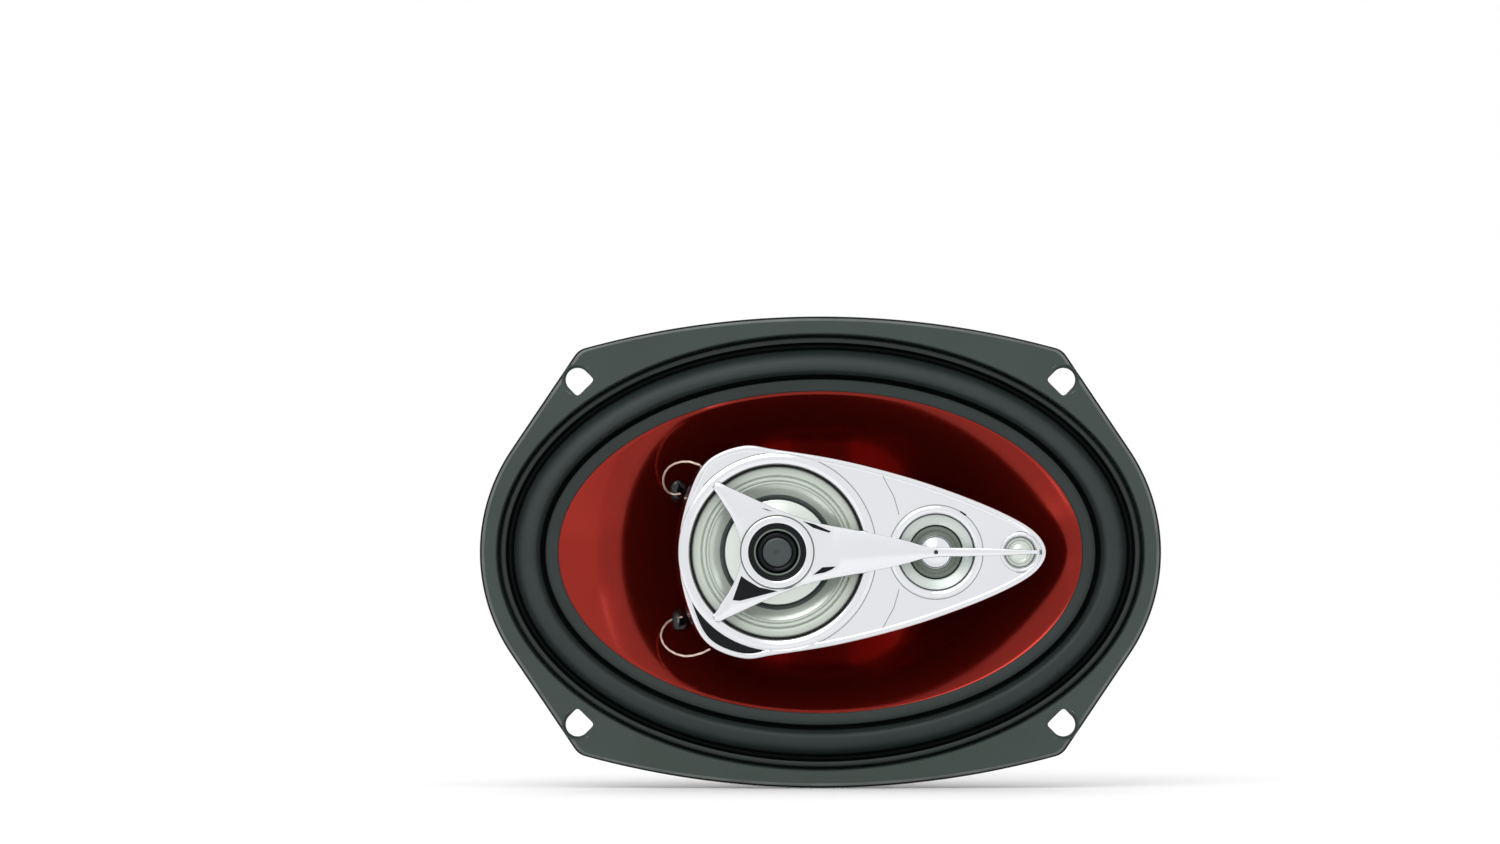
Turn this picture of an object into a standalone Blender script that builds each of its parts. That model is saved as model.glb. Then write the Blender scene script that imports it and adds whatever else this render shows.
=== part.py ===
"""Oval four-way coaxial car speaker, 6x9-inch class, built upright as it hangs in a panel.

World frame: X is the long axis, the face looks along -Y, and +Z is up. The origin lies on the
speaker's axis, in the plane that the flange seats on. Every piece hangs from the empty "speaker",
which is turned so that its own Z runs forward out of the cone: depths below are measured along it,
positive towards the listener.
"""

import math

import bmesh
import bpy
import numpy as np
from mathutils import Vector

MM = 0.001
GAP = 0.3 * MM  # left between pieces that touch

# Flange: an oval opening, a narrow border, and four ears with keyed holes
FLANGE_WIDTH = 235 * MM
FLANGE_HEIGHT = 162.6 * MM
BORDER_END = 5.9 * MM
BORDER_TOP = 6.1 * MM
END_FLATTER = 12.3 * MM  # how much larger the end arc's radius is than the opening's own
EAR_ANGLE = 35.36
HOLE_TURN = 10  # degrees that a keyed hole's corner is turned off the line to the axis
HOLE_OUTSIDE = 8.45 * MM  # from the opening out to a hole's centre
HOLE_SIZE = 8.2 * MM
DIMPLE_RADIUS = 5.0 * MM
BOSS_RADIUS = 6.4 * MM
BOSS_SHIFT = 0.9 * MM  # towards the speaker's axis, clear of the flange's edge
BOSS_STEP = 0.4 * MM  # from the flange's front down to the boss
EAR_ROUND = 6.3 * MM
EAR_CORNER = Vector((-4.2, 4.9)) * MM  # from a hole's centre to the centre of its ear's round corner
FLANGE_TOP = 2.5 * MM
LIP_EDGE = 0.8 * MM
SHEET = 1.2 * MM

# Basket behind the flange
OPENING_A = FLANGE_WIDTH / 2 - BORDER_END
OPENING_B = FLANGE_HEIGHT / 2 - BORDER_TOP
LEDGE_Z = -5 * MM
LEDGE_WIDTH = 6 * MM
WALL_DRAFT = 0.2 * MM
RIM_Z = -13 * MM
RIM_INSET = 8.5 * MM
SHELF_Z = -48.6 * MM
SHELF_RADIUS = 50 * MM
SHELF_WIDTH = 7 * MM
CUP_Z = -56.8 * MM
CUP_RADIUS = 41.5 * MM
CUP_HOLE = 20 * MM
ARM_SPACING = 60
ARM_HALF_ANGLE = 8
RIVET_RADIUS = 1.8 * MM
RIVET_HEAD = 3 * MM
RIVET_LENGTH = 3 * MM  # below the top plate's face
RIVET_CIRCLE = 30 * MM

# Surround and cone, measured inwards from the flange opening
ACROSS = 0.93  # the oval narrows a little less across its short side
GASKET = 2.0 * MM
BEAD_INSET = 1.1 * MM  # round the rubber bead, clear of the flange's inner wall
GASKET_Z = 0.9 * MM
GROOVE_INSET = 3.4 * MM
GROOVE_Z = -3.4 * MM
ROLL_Z = 4.5 * MM
FOOT_INSET = 15.2 * MM
FOOT_Z = -0.6 * MM
CONE_INSET = 21.2 * MM
CONE_EDGE_Z = -2.3 * MM
CONE_GLUE = 4.6 * MM
RUBBER = 0.8 * MM
PAPER = 0.6 * MM
NECK_Z = -43 * MM
CONE_DISH = 0.12
NECK_LENGTH = 2.4 * MM
CONE_TRAVEL = 5 * MM

# Woofer motor
COIL_RADIUS = 12.4 * MM
COIL_WALL = 0.4 * MM
WINDING = 0.7 * MM
WINDING_LENGTH = 13 * MM
FORMER_TOP = -42.2 * MM
AIR_GAP = 0.7 * MM
PLATE_RADIUS = 42 * MM
PLATE_THICK = 5 * MM
MAGNET_RADIUS = 45 * MM
MAGNET_HOLE = 22 * MM
MAGNET_THICK = 14 * MM
YOKE_RADIUS = 43 * MM
YOKE_THICK = 5 * MM
EDGE_ROUND = 1.2 * MM  # bevel of the magnet's and the yoke's edges
YOKE_RECESS = (6.5 * MM, 3.6 * MM)  # radius and depth of the pocket round the bolt's head
BOLT_HEAD = (4.4 * MM, 2.6 * MM)
BOLT_SOCKET = (1.5 * MM, 1.2 * MM)
BOLT_REACH = 14 * MM  # above the pole
BOLT_RADIUS = 2.2 * MM
SPIDER_ROLLS = 4
SPIDER_WAVE = 1.3 * MM
CLOTH = 0.5 * MM

PLATE_Z = CUP_Z - SHEET - GAP
MAGNET_Z = PLATE_Z - PLATE_THICK - GAP
YOKE_Z = MAGNET_Z - MAGNET_THICK - GAP
BACK_Z = YOKE_Z - YOKE_THICK
POLE_RADIUS = COIL_RADIUS - AIR_GAP
POLE_TOP = PLATE_Z + 0.6 * MM
BORE_RADIUS = BOLT_RADIUS + GAP
NECK_RADIUS = COIL_RADIUS + COIL_WALL + GAP
WINDING_INSIDE = COIL_RADIUS + COIL_WALL + 0.1 * MM

# Pod: drivers on its long axis, and the teardrop shell around them
MID_X = -14.8 * MM
MID_OPENING = 30.1 * MM
SIDE_OPENING = 13.2 * MM
SUPER_OPENING = 5.3 * MM
MID_TO_SIDE = 11.1 * MM
SIDE_TO_SUPER = 10.3 * MM
SIDE_X = MID_X + MID_OPENING + MID_TO_SIDE + SIDE_OPENING
SUPER_X = SIDE_X + SIDE_OPENING + SIDE_TO_SUPER + SUPER_OPENING
POD_LEFT = MID_X - MID_OPENING - 3.9 * MM
POD_TIP = SUPER_X + SUPER_OPENING + 3.7 * MM
POD_HALF = MID_OPENING + 6.5 * MM
POD_MIDDLE = (POD_LEFT + POD_TIP) / 2
POD_WALL = 1.6 * MM
POD_FRONT = 16 * MM
POD_FOOT = 2.3 * MM
TRAY_FLOOR = -8.5 * MM
TRAY_NARROW = 0.8
BRIDGE_THICK = 2.3 * MM
COLLAR_RADIUS = 12.8 * MM
COLLAR_WALL = 1.0 * MM
COLLAR_FOOT = 12 * MM
POST_RADIUS = 6 * MM
POST_FLANGE = 11 * MM
SCREW_RADIUS = 1.3 * MM
SCREW_HEAD = (2.5 * MM, 1.3 * MM)
PILLAR_RADIUS = 3 * MM
PILLAR_ACROSS = 0.437  # of the pod's half width
UNDER_PLATE = POD_FRONT - POD_WALL - GAP
TRAY_INSIDE = TRAY_FLOOR + POD_WALL
SCREW_END = 7 * MM

# Leads and connector
LEAD_RADIUS = 0.5 * MM
EYELET = 2.7 * MM
EYELET_HEIGHT = 1.9 * MM
EYELET_PLACES = ((-49.7, 21.4), (-49.0, -23.8))
UPPER_LOOP = ((-54.8, 23.5, 5.1), (-50.5, 29.8, 10.1))  # x, y and height above the cone, mm
LOWER_LOOP = ((-57, -27, 3.5), (-48, -36, 7.7))
LEAD_ENDS = ((-41.5, 30), (-38, -33.4))  # where the leads enter the pod, mm
LEAD_END_Z = 0.6 * MM
BOARD = (34 * MM, 15 * MM, 1.6 * MM)
ARM_BOW = 0.9 * MM  # the arm's back is slightly round across
BOARD_RIVETS = 4.5 * MM  # from the board's middle
BOARD_RIVET_RADIUS = 1.2 * MM
TAB_SPREAD = 13 * MM
TAB_LENGTH = 10 * MM
TAB_FOOT = 5 * MM
TAB_THICK = 0.8 * MM
TAB_WIDTHS = (4.8 * MM, 2.8 * MM)

COLOURS = {
    "steel": ((0.065, 0.085, 0.078, 1), 0.38, 0.6),
    "rubber": ((0.045, 0.055, 0.055, 1), 0.6, 0.0),
    "cone": ((0.42, 0.02, 0.018, 1), 0.18, 0.0),
    "bright": ((0.85, 0.85, 0.87, 1), 0.12, 0.9),
    "silver": ((0.6, 0.65, 0.6, 1), 0.3, 0.5),
    "black": ((0.02, 0.02, 0.022, 1), 0.4, 0.0),
    "ferrite": ((0.05, 0.05, 0.055, 1), 0.7, 0.0),
    "zinc": ((0.5, 0.5, 0.5, 1), 0.35, 1.0),
    "copper": ((0.7, 0.35, 0.2, 1), 0.3, 1.0),
    "cloth": ((0.6, 0.45, 0.2, 1), 0.9, 0.0),
}


def clear_scene():
    for old in list(bpy.data.objects):
        bpy.data.objects.remove(old)


def paint(obj, colour):
    """Gives the object a Principled material of its own."""
    base, roughness, metallic = COLOURS[colour]
    material = bpy.data.materials.new(obj.name)
    material.use_nodes = True
    shader = material.node_tree.nodes["Principled BSDF"]
    shader.inputs["Base Color"].default_value = base
    shader.inputs["Roughness"].default_value = roughness
    shader.inputs["Metallic"].default_value = metallic
    obj.data.materials.append(material)


def axis_empty(name, x=0.0, parent=None):
    empty = bpy.data.objects.new(name, None)
    bpy.context.collection.objects.link(empty)
    empty.parent = parent
    empty.location = (x, 0, 0)
    return empty


def place(name, data, colour, parent, at=(0, 0, 0)):
    """Links a piece under an empty, at a place in that empty's frame."""
    obj = bpy.data.objects.new(name, data)
    bpy.context.collection.objects.link(obj)
    obj.parent = parent
    obj.location = at
    paint(obj, colour)
    return obj


def mesh_of(bm, name, smooth=40):
    """Turns a closed bmesh into a mesh that faces outwards and is shaded smooth below an angle."""
    bmesh.ops.recalc_face_normals(bm, faces=bm.faces)
    data = bpy.data.meshes.new(name)
    bm.to_mesh(data)
    bm.free()
    data.shade_smooth()
    data.set_sharp_from_angle(angle=math.radians(smooth))
    return data


def skin(rings, closed):
    """Faces between each ring of points and the next. A ring of one point is a tip."""
    bm = bmesh.new()
    made = [[bm.verts.new(point) for point in ring] for ring in rings]
    after = made[1:] + made[:1] if closed else made[1:]
    for low, high in zip(made, after):
        count = max(len(low), len(high))
        for k in range(count):
            nxt = k + 1
            corners = (low[k % len(low)], low[nxt % len(low)], high[nxt % len(high)], high[k % len(high)])
            bm.faces.new(list(dict.fromkeys(corners)))
    return bm


def circle(radius, z, steps, phase=0.0):
    if radius <= 0:
        return [(0, 0, z)]
    turns = (2 * math.pi * (k + phase) / steps for k in range(steps))
    return [(radius * math.cos(t), radius * math.sin(t), z) for t in turns]


def turned(name, profile, colour, parent, at=(0, 0, 0), steps=32):
    """A solid turned about the parent's axis from (radius, depth) points, which start and end on the
    axis or make a closed loop."""
    closed = profile[0][0] > 0
    bm = skin([circle(radius, z, steps) for radius, z in profile], closed)
    return place(name, mesh_of(bm, name), colour, parent, at)


def tube(name, inner, outer, low, high, colour, parent, at=(0, 0, 0), steps=32):
    profile = ((outer, high), (outer, low), (inner, low), (inner, high))
    return turned(name, profile, colour, parent, at, steps)


def disc(name, radius, low, high, colour, parent, at=(0, 0, 0), steps=32):
    return turned(name, ((0, high), (radius, high), (radius, low), (0, low)), colour, parent, at, steps)


def oval(inset, z, steps):
    """An oval ring, an inset inwards from the flange's opening."""
    a = OPENING_A - inset
    b = OPENING_B - inset * ACROSS
    turns = (2 * math.pi * k / steps for k in range(steps))
    return [(a * math.cos(t), b * math.sin(t), z) for t in turns]


def extruded(name, outline, low, high):
    """A closed prism over an outline of (x, y) points."""
    bm = skin([[(x, y, low) for x, y in outline], [(x, y, high) for x, y in outline]], False)
    bm.verts.ensure_lookup_table()
    count = len(outline)
    bm.faces.new(bm.verts[:count])
    bm.faces.new(bm.verts[count:])
    return mesh_of(bm, name)


def helper(name, data, parent, at=(0, 0, 0)):
    """A cutter or a shape to be joined, left out of the finished model."""
    obj = bpy.data.objects.new(name, data)
    bpy.context.collection.objects.link(obj)
    obj.parent = parent
    obj.location = at
    obj.hide_render = True
    obj.display_type = "WIRE"
    return obj


def round_helper(name, radius, low, high, parent, at, steps=32):
    rings = [circle(radius, low, steps, 0.3), circle(radius, high, steps, 0.3)]
    bm = skin([[(0, 0, low)]] + rings + [[(0, 0, high)]], False)
    return helper(name, mesh_of(bm, name), parent, at)


def combine(obj, other, operation):
    modifier = obj.modifiers.new(other.name, "BOOLEAN")
    modifier.operation = operation
    modifier.object = other
    modifier.solver = "EXACT"


def drill(target, name, radius, low, high, parent, at=(0, 0, 0), steps=12):
    """Bores a round hole along the parent's axis through a piece."""
    bore = round_helper(name, radius, low, high, parent, at, steps)
    combine(target, bore, "DIFFERENCE")
    return bore


# ---------------------------------------------------------------- basket


def oval_radius(angle, a, b):
    return a * b / math.hypot(b * math.cos(angle), a * math.sin(angle))


def hole_centre():
    """Centre of the ear hole in the quarter where x and y are positive."""
    angle = math.radians(EAR_ANGLE)
    out = oval_radius(angle, OPENING_A, OPENING_B) + HOLE_OUTSIDE
    return Vector((out * math.cos(angle), out * math.sin(angle)))


def flange_quarter():
    """The flange's edge over one quarter: end arc, slanted side, the ear's corner and the top arc."""
    ear = hole_centre() + EAR_CORNER
    end_radius = OPENING_B**2 / OPENING_A + END_FLATTER
    end = Vector((FLANGE_WIDTH / 2 - end_radius, 0))
    apart = ear - end
    slant = math.atan2(apart.y, apart.x) - math.acos((end_radius - EAR_ROUND) / apart.length)
    drop = FLANGE_HEIGHT / 2 - ear.y
    top_radius = (ear.x**2 + drop**2 - EAR_ROUND**2) / (2 * (drop - EAR_ROUND))
    top = Vector((0, FLANGE_HEIGHT / 2 - top_radius))
    crown = math.atan2(ear.y - top.y, ear.x)
    arcs = (
        (end, end_radius, 0, slant),
        (ear, EAR_ROUND, slant, crown),
        (top, top_radius, crown, math.pi / 2),
    )
    points = []
    for centre, radius, start, stop in arcs:
        for turn in np.linspace(start, stop, 40):
            points.append((centre.x + radius * math.cos(turn), centre.y + radius * math.sin(turn)))
    dense = []
    for (x0, y0), (x1, y1) in zip(points, points[1:]):
        for share in (0, 0.25, 0.5, 0.75):
            dense.append((x0 + (x1 - x0) * share, y0 + (y1 - y0) * share))
    return np.array(dense + [points[-1]])


def flange_radius(angles):
    """Distance from the axis to the flange's edge in each direction."""
    edge = flange_quarter()
    folded = np.abs((np.asarray(angles) + math.pi / 2) % math.pi - math.pi / 2)
    return np.interp(folded, np.arctan2(edge[:, 1], edge[:, 0]), np.hypot(edge[:, 0], edge[:, 1]))


def basket_angles():
    """Directions of the basket's columns of faces, closer round each ear and at the arms' edges."""
    arm = ARM_HALF_ANGLE
    ear = [11.5, 15, 22, 28, 32, 35.5, 38, 40, 42, 45]
    quarter = [0, arm / 2, arm] + ear + [ARM_SPACING - arm, ARM_SPACING, ARM_SPACING + arm, 75, 82.5]
    half = quarter + [90] + [180 - angle for angle in reversed(quarter[1:])]
    return np.radians(half + [angle + 180 for angle in half])


def wall_ring(share):
    """(a, b, z) of the basket's wall, from the rim at 0 to the shelf at 1."""
    a = OPENING_A - RIM_INSET
    b = OPENING_B - RIM_INSET
    return (
        a + (SHELF_RADIUS - a) * share,
        b + (SHELF_RADIUS - b) * share,
        RIM_Z + (SHELF_Z - RIM_Z) * share,
    )


def basket_rows(angles):
    """(radii, depth) of each row of points over the basket's front, from the lip to the bottom hole."""
    edge = flange_radius(angles)

    def ring(a, b, z):
        return np.array([oval_radius(angle, a, b) for angle in angles]), z

    ledge_a = OPENING_A - LEDGE_WIDTH
    ledge_b = OPENING_B - LEDGE_WIDTH
    rows = [
        (edge, 0),
        (edge, FLANGE_TOP - LIP_EDGE),
        (edge - LIP_EDGE, FLANGE_TOP),
        ring(OPENING_A, OPENING_B, FLANGE_TOP),
        ring(OPENING_A - WALL_DRAFT, OPENING_B - WALL_DRAFT, LEDGE_Z),
        ring(ledge_a, ledge_b, LEDGE_Z),
    ]
    rows += [ring(*wall_ring(share)) for share in (0, 0.5, 0.93, 1)]
    rows += [
        ring(SHELF_RADIUS - SHELF_WIDTH, SHELF_RADIUS - SHELF_WIDTH, SHELF_Z),
        ring(CUP_RADIUS, CUP_RADIUS, CUP_Z),
        ring(CUP_HOLE, CUP_HOLE, CUP_Z),
    ]
    return rows


WINDOW_ROWS = (6, 7)  # spaces between rows of points that the windows take


def in_window(row, angle):
    off_arm = abs((math.degrees(angle) + ARM_SPACING / 2) % ARM_SPACING - ARM_SPACING / 2)
    return row in WINDOW_ROWS and off_arm > ARM_HALF_ANGLE


def basket_sheet():
    angles = basket_angles()
    bm = bmesh.new()
    rows = []
    for radii, z in basket_rows(angles):
        points = zip(radii * np.cos(angles), radii * np.sin(angles))
        rows.append([bm.verts.new((x, y, z)) for x, y in points])
    count = len(angles)
    for row, (outer, inner) in enumerate(zip(rows, rows[1:])):
        for k in range(count):
            nxt = (k + 1) % count
            middle = angles[k] + ((angles[nxt] - angles[k]) % (2 * math.pi)) / 2
            if not in_window(row, middle):
                bm.faces.new((outer[k], outer[nxt], inner[nxt], inner[k]))
    data = bpy.data.meshes.new("basket")
    bm.to_mesh(data)
    bm.free()
    data.shade_smooth()
    data.set_sharp_from_angle(angle=math.radians(30))
    return data


def keyed_hole():
    """Outline of an ear hole: a square corner towards the axis and a round end outwards, before turning."""
    half = HOLE_SIZE / 2
    arc = [(half * math.cos(t), half * math.sin(t)) for t in np.linspace(-math.pi / 2, math.pi / 2, 7)]
    square = [(-half * 0.75, half), (-half, half * 0.75), (-half, -half * 0.75), (-half * 0.75, -half)]
    return arc + square


def ear_places():
    hole = hole_centre()
    return [(sx * hole.x, sy * hole.y, 0) for sx in (-1, 1) for sy in (-1, 1)]


def make_basket(speaker):
    basket = place("basket", basket_sheet(), "steel", speaker)
    solid = basket.modifiers.new("sheet", "SOLIDIFY")
    solid.thickness = SHEET
    solid.offset = -1
    solid.use_even_offset = True
    for number, (x, y, _) in enumerate(ear_places(), 1):
        inwards = 1 - BOSS_SHIFT / math.hypot(x, y)
        at = (x * inwards, y * inwards, 0)
        top = FLANGE_TOP - BOSS_STEP
        boss = round_helper(f"ear_boss_{number}", BOSS_RADIUS, 0, top, speaker, at, 16)
        combine(basket, boss, "UNION")
        dimple = f"ear_dimple_{number}"
        drill(basket, dimple, DIMPLE_RADIUS, SHEET, 2 * FLANGE_TOP, speaker, (x, y, 0))
        data = extruded(f"ear_hole_{number}", keyed_hole(), -FLANGE_TOP, 2 * FLANGE_TOP)
        hole = helper(data.name, data, speaker, (x, y, 0))
        hole.rotation_euler.z = math.atan2(y, x) + math.radians(HOLE_TURN) * math.copysign(1, x * y)
        combine(basket, hole, "DIFFERENCE")
    for number, (x, y) in enumerate(rivet_places(), 1):
        low = CUP_Z - 2 * SHEET
        bore = RIVET_RADIUS + GAP
        drill(basket, f"rivet_bore_{number}", bore, low, CUP_Z + SHEET, speaker, (x, y, 0))
    return basket


def rivet_places():
    turns = [math.radians(45 + 90 * k) for k in range(4)]
    return [(RIVET_CIRCLE * math.cos(t), RIVET_CIRCLE * math.sin(t)) for t in turns]


def make_rivets(speaker):
    for number, (x, y) in enumerate(rivet_places(), 1):
        head = CUP_Z + GAP
        profile = (
            (0, head + RIVET_HEAD * 0.33),
            (RIVET_HEAD * 0.53, head + RIVET_HEAD * 0.27),
            (RIVET_HEAD, head),
            (RIVET_RADIUS, head),
            (RIVET_RADIUS, PLATE_Z - RIVET_LENGTH),
            (0, PLATE_Z - RIVET_LENGTH),
        )
        turned(f"basket_rivet_{number}", profile, "zinc", speaker, (x, y, 0), 10)


# ---------------------------------------------------------------- woofer


def shell(rings, thick):
    """Rings along a sheet's front and back again behind it, as one closed loop of rings."""
    back = [[(x, y, z - thick) for x, y, z in ring] for ring in reversed(rings)]
    return rings + back


def surround_rings(steps):
    rings = [
        oval(BEAD_INSET, GASKET_Z, steps),
        oval(GASKET, GASKET_Z, steps),
        oval(GASKET + 0.6 * MM, GROOVE_Z, steps),
        oval(GROOVE_INSET, GROOVE_Z, steps),
    ]
    for share in (0.16, 0.38, 0.62, 0.84, 1):
        inset = GROOVE_INSET + (FOOT_INSET - GROOVE_INSET) * share
        base = GROOVE_Z + (FOOT_Z - GROOVE_Z) * share
        roll = (ROLL_Z - (GROOVE_Z + FOOT_Z) / 2) * math.sin(math.pi * share) ** 0.8
        rings.append(oval(inset, base + roll, steps))
    rings.append(oval(CONE_INSET, CONE_EDGE_Z + RUBBER + GAP, steps))
    return rings


def make_surround(speaker, steps=44):
    """Rubber half-roll. Its outer rim is a solid bead that fills the ledge up to the gasket face."""
    front = surround_rings(steps)
    back = [[(x, y, z - RUBBER) for x, y, z in ring] for ring in reversed(front[4:])]
    floor = LEDGE_Z + GAP
    bead = [oval(GROOVE_INSET, floor, steps), oval(BEAD_INSET, floor, steps)]
    place("surround", mesh_of(skin(front + back + bead, True), "surround"), "rubber", speaker)


def cone_axes(share):
    """Half width and half height of the cone's oval, from the neck at 0 to the outer edge at 1."""
    a = NECK_RADIUS + (OPENING_A - CONE_INSET - NECK_RADIUS) * share
    b = NECK_RADIUS + (OPENING_B - CONE_INSET * ACROSS - NECK_RADIUS) * share
    return a, b


def cone_point(share, turn):
    """A point on the cone's slightly dished front."""
    a, b = cone_axes(share)
    rise = (1 + CONE_DISH) * share - CONE_DISH * share**2
    return a * math.cos(turn), b * math.sin(turn), NECK_Z + (CONE_EDGE_Z - NECK_Z) * rise


def cone_height(x, y):
    """Depth of the cone's front at a place."""
    low, high = 0.0, 1.0
    for _ in range(40):
        share = (low + high) / 2
        a, b = cone_axes(share)
        if (x / a) ** 2 + (y / b) ** 2 > 1:
            low = share
        else:
            high = share
    return cone_point(low, 0)[2]


def make_cone(axis, steps=40):
    turns = [2 * math.pi * k / steps for k in range(steps)]
    front = [oval(CONE_INSET - CONE_GLUE, CONE_EDGE_Z + 0.4 * MM, steps)]
    for share in (1, 0.75, 0.5, 0.22, 0):
        front.append([cone_point(share, turn) for turn in turns])
    front.append([(x, y, z - NECK_LENGTH) for x, y, z in front[-1]])
    back = [[(x, y, z - PAPER) for x, y, z in ring] for ring in front[:-2]]
    wider = 1 + PAPER / NECK_RADIUS
    neck = [(x * wider, y * wider, z - 1.7 * PAPER) for x, y, z in front[-2]]
    foot = [(x * wider, y * wider, z) for x, y, z in front[-1]]
    rings = front + [foot, neck] + list(reversed(back))
    place("cone", mesh_of(skin(rings, True), "cone"), "cone", axis)


def make_coil(axis):
    middle = PLATE_Z - PLATE_THICK / 2
    bottom = middle - WINDING_LENGTH / 2 - 2 * MM
    outside = COIL_RADIUS + COIL_WALL
    tube("coil_former", COIL_RADIUS, outside, bottom, FORMER_TOP, "silver", axis, steps=24)
    inner = WINDING_INSIDE
    low = middle - WINDING_LENGTH / 2
    tube("coil_winding", inner, inner + WINDING, low, low + WINDING_LENGTH, "copper", axis, steps=24)


def make_spider(speaker, steps=28):
    """Corrugated cloth disc from the coil former out to the basket's shelf."""
    inner = NECK_RADIUS
    outer = SHELF_RADIUS - 1 * MM
    waved = SHELF_RADIUS - SHELF_WIDTH
    rest = SHELF_Z + GAP + 0.6 * MM
    collar = 1.5 * MM
    rings = [
        circle(inner, rest + 1.4 * MM, steps),
        circle(inner + collar / 2, rest + 0.2 * MM, steps),
    ]
    for k in range(1, 2 * SPIDER_ROLLS):
        radius = inner + collar + (waved - inner - collar) * k / (2 * SPIDER_ROLLS)
        rings.append(circle(radius, rest + SPIDER_WAVE * (1 if k % 2 else -1), steps))
    rings += [circle(waved, rest, steps), circle(outer, rest, steps)]
    place("spider", mesh_of(skin(shell(rings, CLOTH), True), "spider"), "cloth", speaker)


def make_motor(speaker):
    hole = WINDING_INSIDE + WINDING + AIR_GAP
    under = PLATE_Z - PLATE_THICK
    plate = tube("top_plate", hole, PLATE_RADIUS, under, PLATE_Z, "zinc", speaker, steps=32)
    for number, (x, y) in enumerate(rivet_places(), 1):
        low = PLATE_Z - RIVET_LENGTH - 1 * MM
        bore = RIVET_RADIUS + GAP
        drill(plate, f"plate_bore_{number}", bore, low, PLATE_Z + SHEET, speaker, (x, y, 0))
    make_magnet(speaker)
    make_yoke(speaker)
    make_bolt(speaker)


def make_magnet(speaker):
    edge = EDGE_ROUND
    low = MAGNET_Z - MAGNET_THICK
    magnet = (
        (MAGNET_RADIUS - edge, MAGNET_Z),
        (MAGNET_RADIUS, MAGNET_Z - edge),
        (MAGNET_RADIUS, low + edge),
        (MAGNET_RADIUS - edge, low),
        (MAGNET_HOLE, low),
        (MAGNET_HOLE, MAGNET_Z),
    )
    turned("magnet", magnet, "ferrite", speaker, steps=36)


def make_yoke(speaker):
    edge = EDGE_ROUND
    recess, deep = YOKE_RECESS
    recess_z = BACK_Z + deep
    yoke = (
        (POLE_RADIUS, POLE_TOP),
        (POLE_RADIUS, YOKE_Z),
        (YOKE_RADIUS, YOKE_Z),
        (YOKE_RADIUS, BACK_Z + edge),
        (YOKE_RADIUS - edge, BACK_Z),
        (recess, BACK_Z),
        (recess, recess_z),
        (BORE_RADIUS, recess_z),
        (BORE_RADIUS, POLE_TOP),
    )
    turned("t_yoke", yoke, "zinc", speaker, steps=32)


def make_bolt(speaker):
    head = BACK_Z + YOKE_RECESS[1] - GAP
    wide, tall = BOLT_HEAD
    socket, deep = BOLT_SOCKET
    bolt = (
        (0, POLE_TOP + BOLT_REACH),
        (BOLT_RADIUS, POLE_TOP + BOLT_REACH),
        (BOLT_RADIUS, head),
        (wide, head),
        (wide, head - tall),
        (socket, head - tall),
        (socket, head - tall + deep),
        (0, head - tall + deep),
    )
    turned("pod_bolt", bolt, "zinc", speaker, steps=12)


# ---------------------------------------------------------------- pod shell


def pod_outline(per_span=3):
    """Teardrop: a blunt left end, long flanks and a small round tip, a smooth curve through its knees."""
    length = POD_TIP - POD_LEFT
    upper = (
        (0.030, 0.55),
        (0.080, 0.86),
        (0.178, 1.00),
        (0.263, 0.965),
        (0.440, 0.866),
        (0.670, 0.655),
        (0.880, 0.375),
        (0.965, 0.205),
        (0.993, 0.090),
    )
    left = [(POD_LEFT, 0.0)]
    above = [(POD_LEFT + length * x, POD_HALF * y) for x, y in upper]
    below = [(x, -y) for x, y in reversed(above)]
    knees = [Vector(point) for point in left + above + [(POD_TIP, 0.0)] + below]
    outline = []
    for k, start in enumerate(knees):
        before = knees[k - 1]
        stop = knees[(k + 1) % len(knees)]
        after = knees[(k + 2) % len(knees)]
        for step in range(per_span):
            outline.append(catmull(before, start, stop, after, step / per_span))
    return outline


def catmull(before, start, stop, after, share):
    """Centripetal Catmull-Rom point between start and stop."""
    t1 = (start - before).length ** 0.5
    t2 = t1 + (stop - start).length ** 0.5
    t3 = t2 + (after - stop).length ** 0.5
    t = t1 + (t2 - t1) * share
    first = before.lerp(start, t / t1)
    second = start.lerp(stop, (t - t1) / (t2 - t1))
    third = stop.lerp(after, (t - t2) / (t3 - t2))
    left = first.lerp(second, t / t2)
    right = second.lerp(third, (t - t1) / (t3 - t1))
    return left.lerp(right, (t - t1) / (t2 - t1))


def pod_ring(inset, z, narrow=1.0):
    """The pod's outline moved inwards by an inset, and drawn in about the pod's middle by a factor."""
    outline = pod_outline()
    ring = []
    for k, point in enumerate(outline):
        along = outline[(k + 1) % len(outline)] - outline[k - 1]
        inwards = Vector((along.y, -along.x)).normalized()
        moved = point + inwards * inset
        ring.append((POD_MIDDLE + (moved.x - POD_MIDDLE) * narrow, moved.y * narrow, z))
    return ring


def closed_cup(rings):
    """Rings from one side's flat face to the other's, with both ends filled."""
    bm = skin(rings, False)
    bm.verts.ensure_lookup_table()
    bm.faces.new(bm.verts[: len(rings[0])])
    bm.faces.new(bm.verts[-len(rings[-1]) :])
    return bm


def pillar_places():
    """Screw places between the drivers: two beside the midrange, one between the two small tweeters."""
    beside = MID_X + MID_OPENING + 6.7 * MM
    between = (SIDE_X + SIDE_OPENING + SUPER_X - SUPER_OPENING) / 2
    side = POD_HALF * PILLAR_ACROSS
    return [(beside, side), (beside, -side), (between, 0)]


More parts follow.
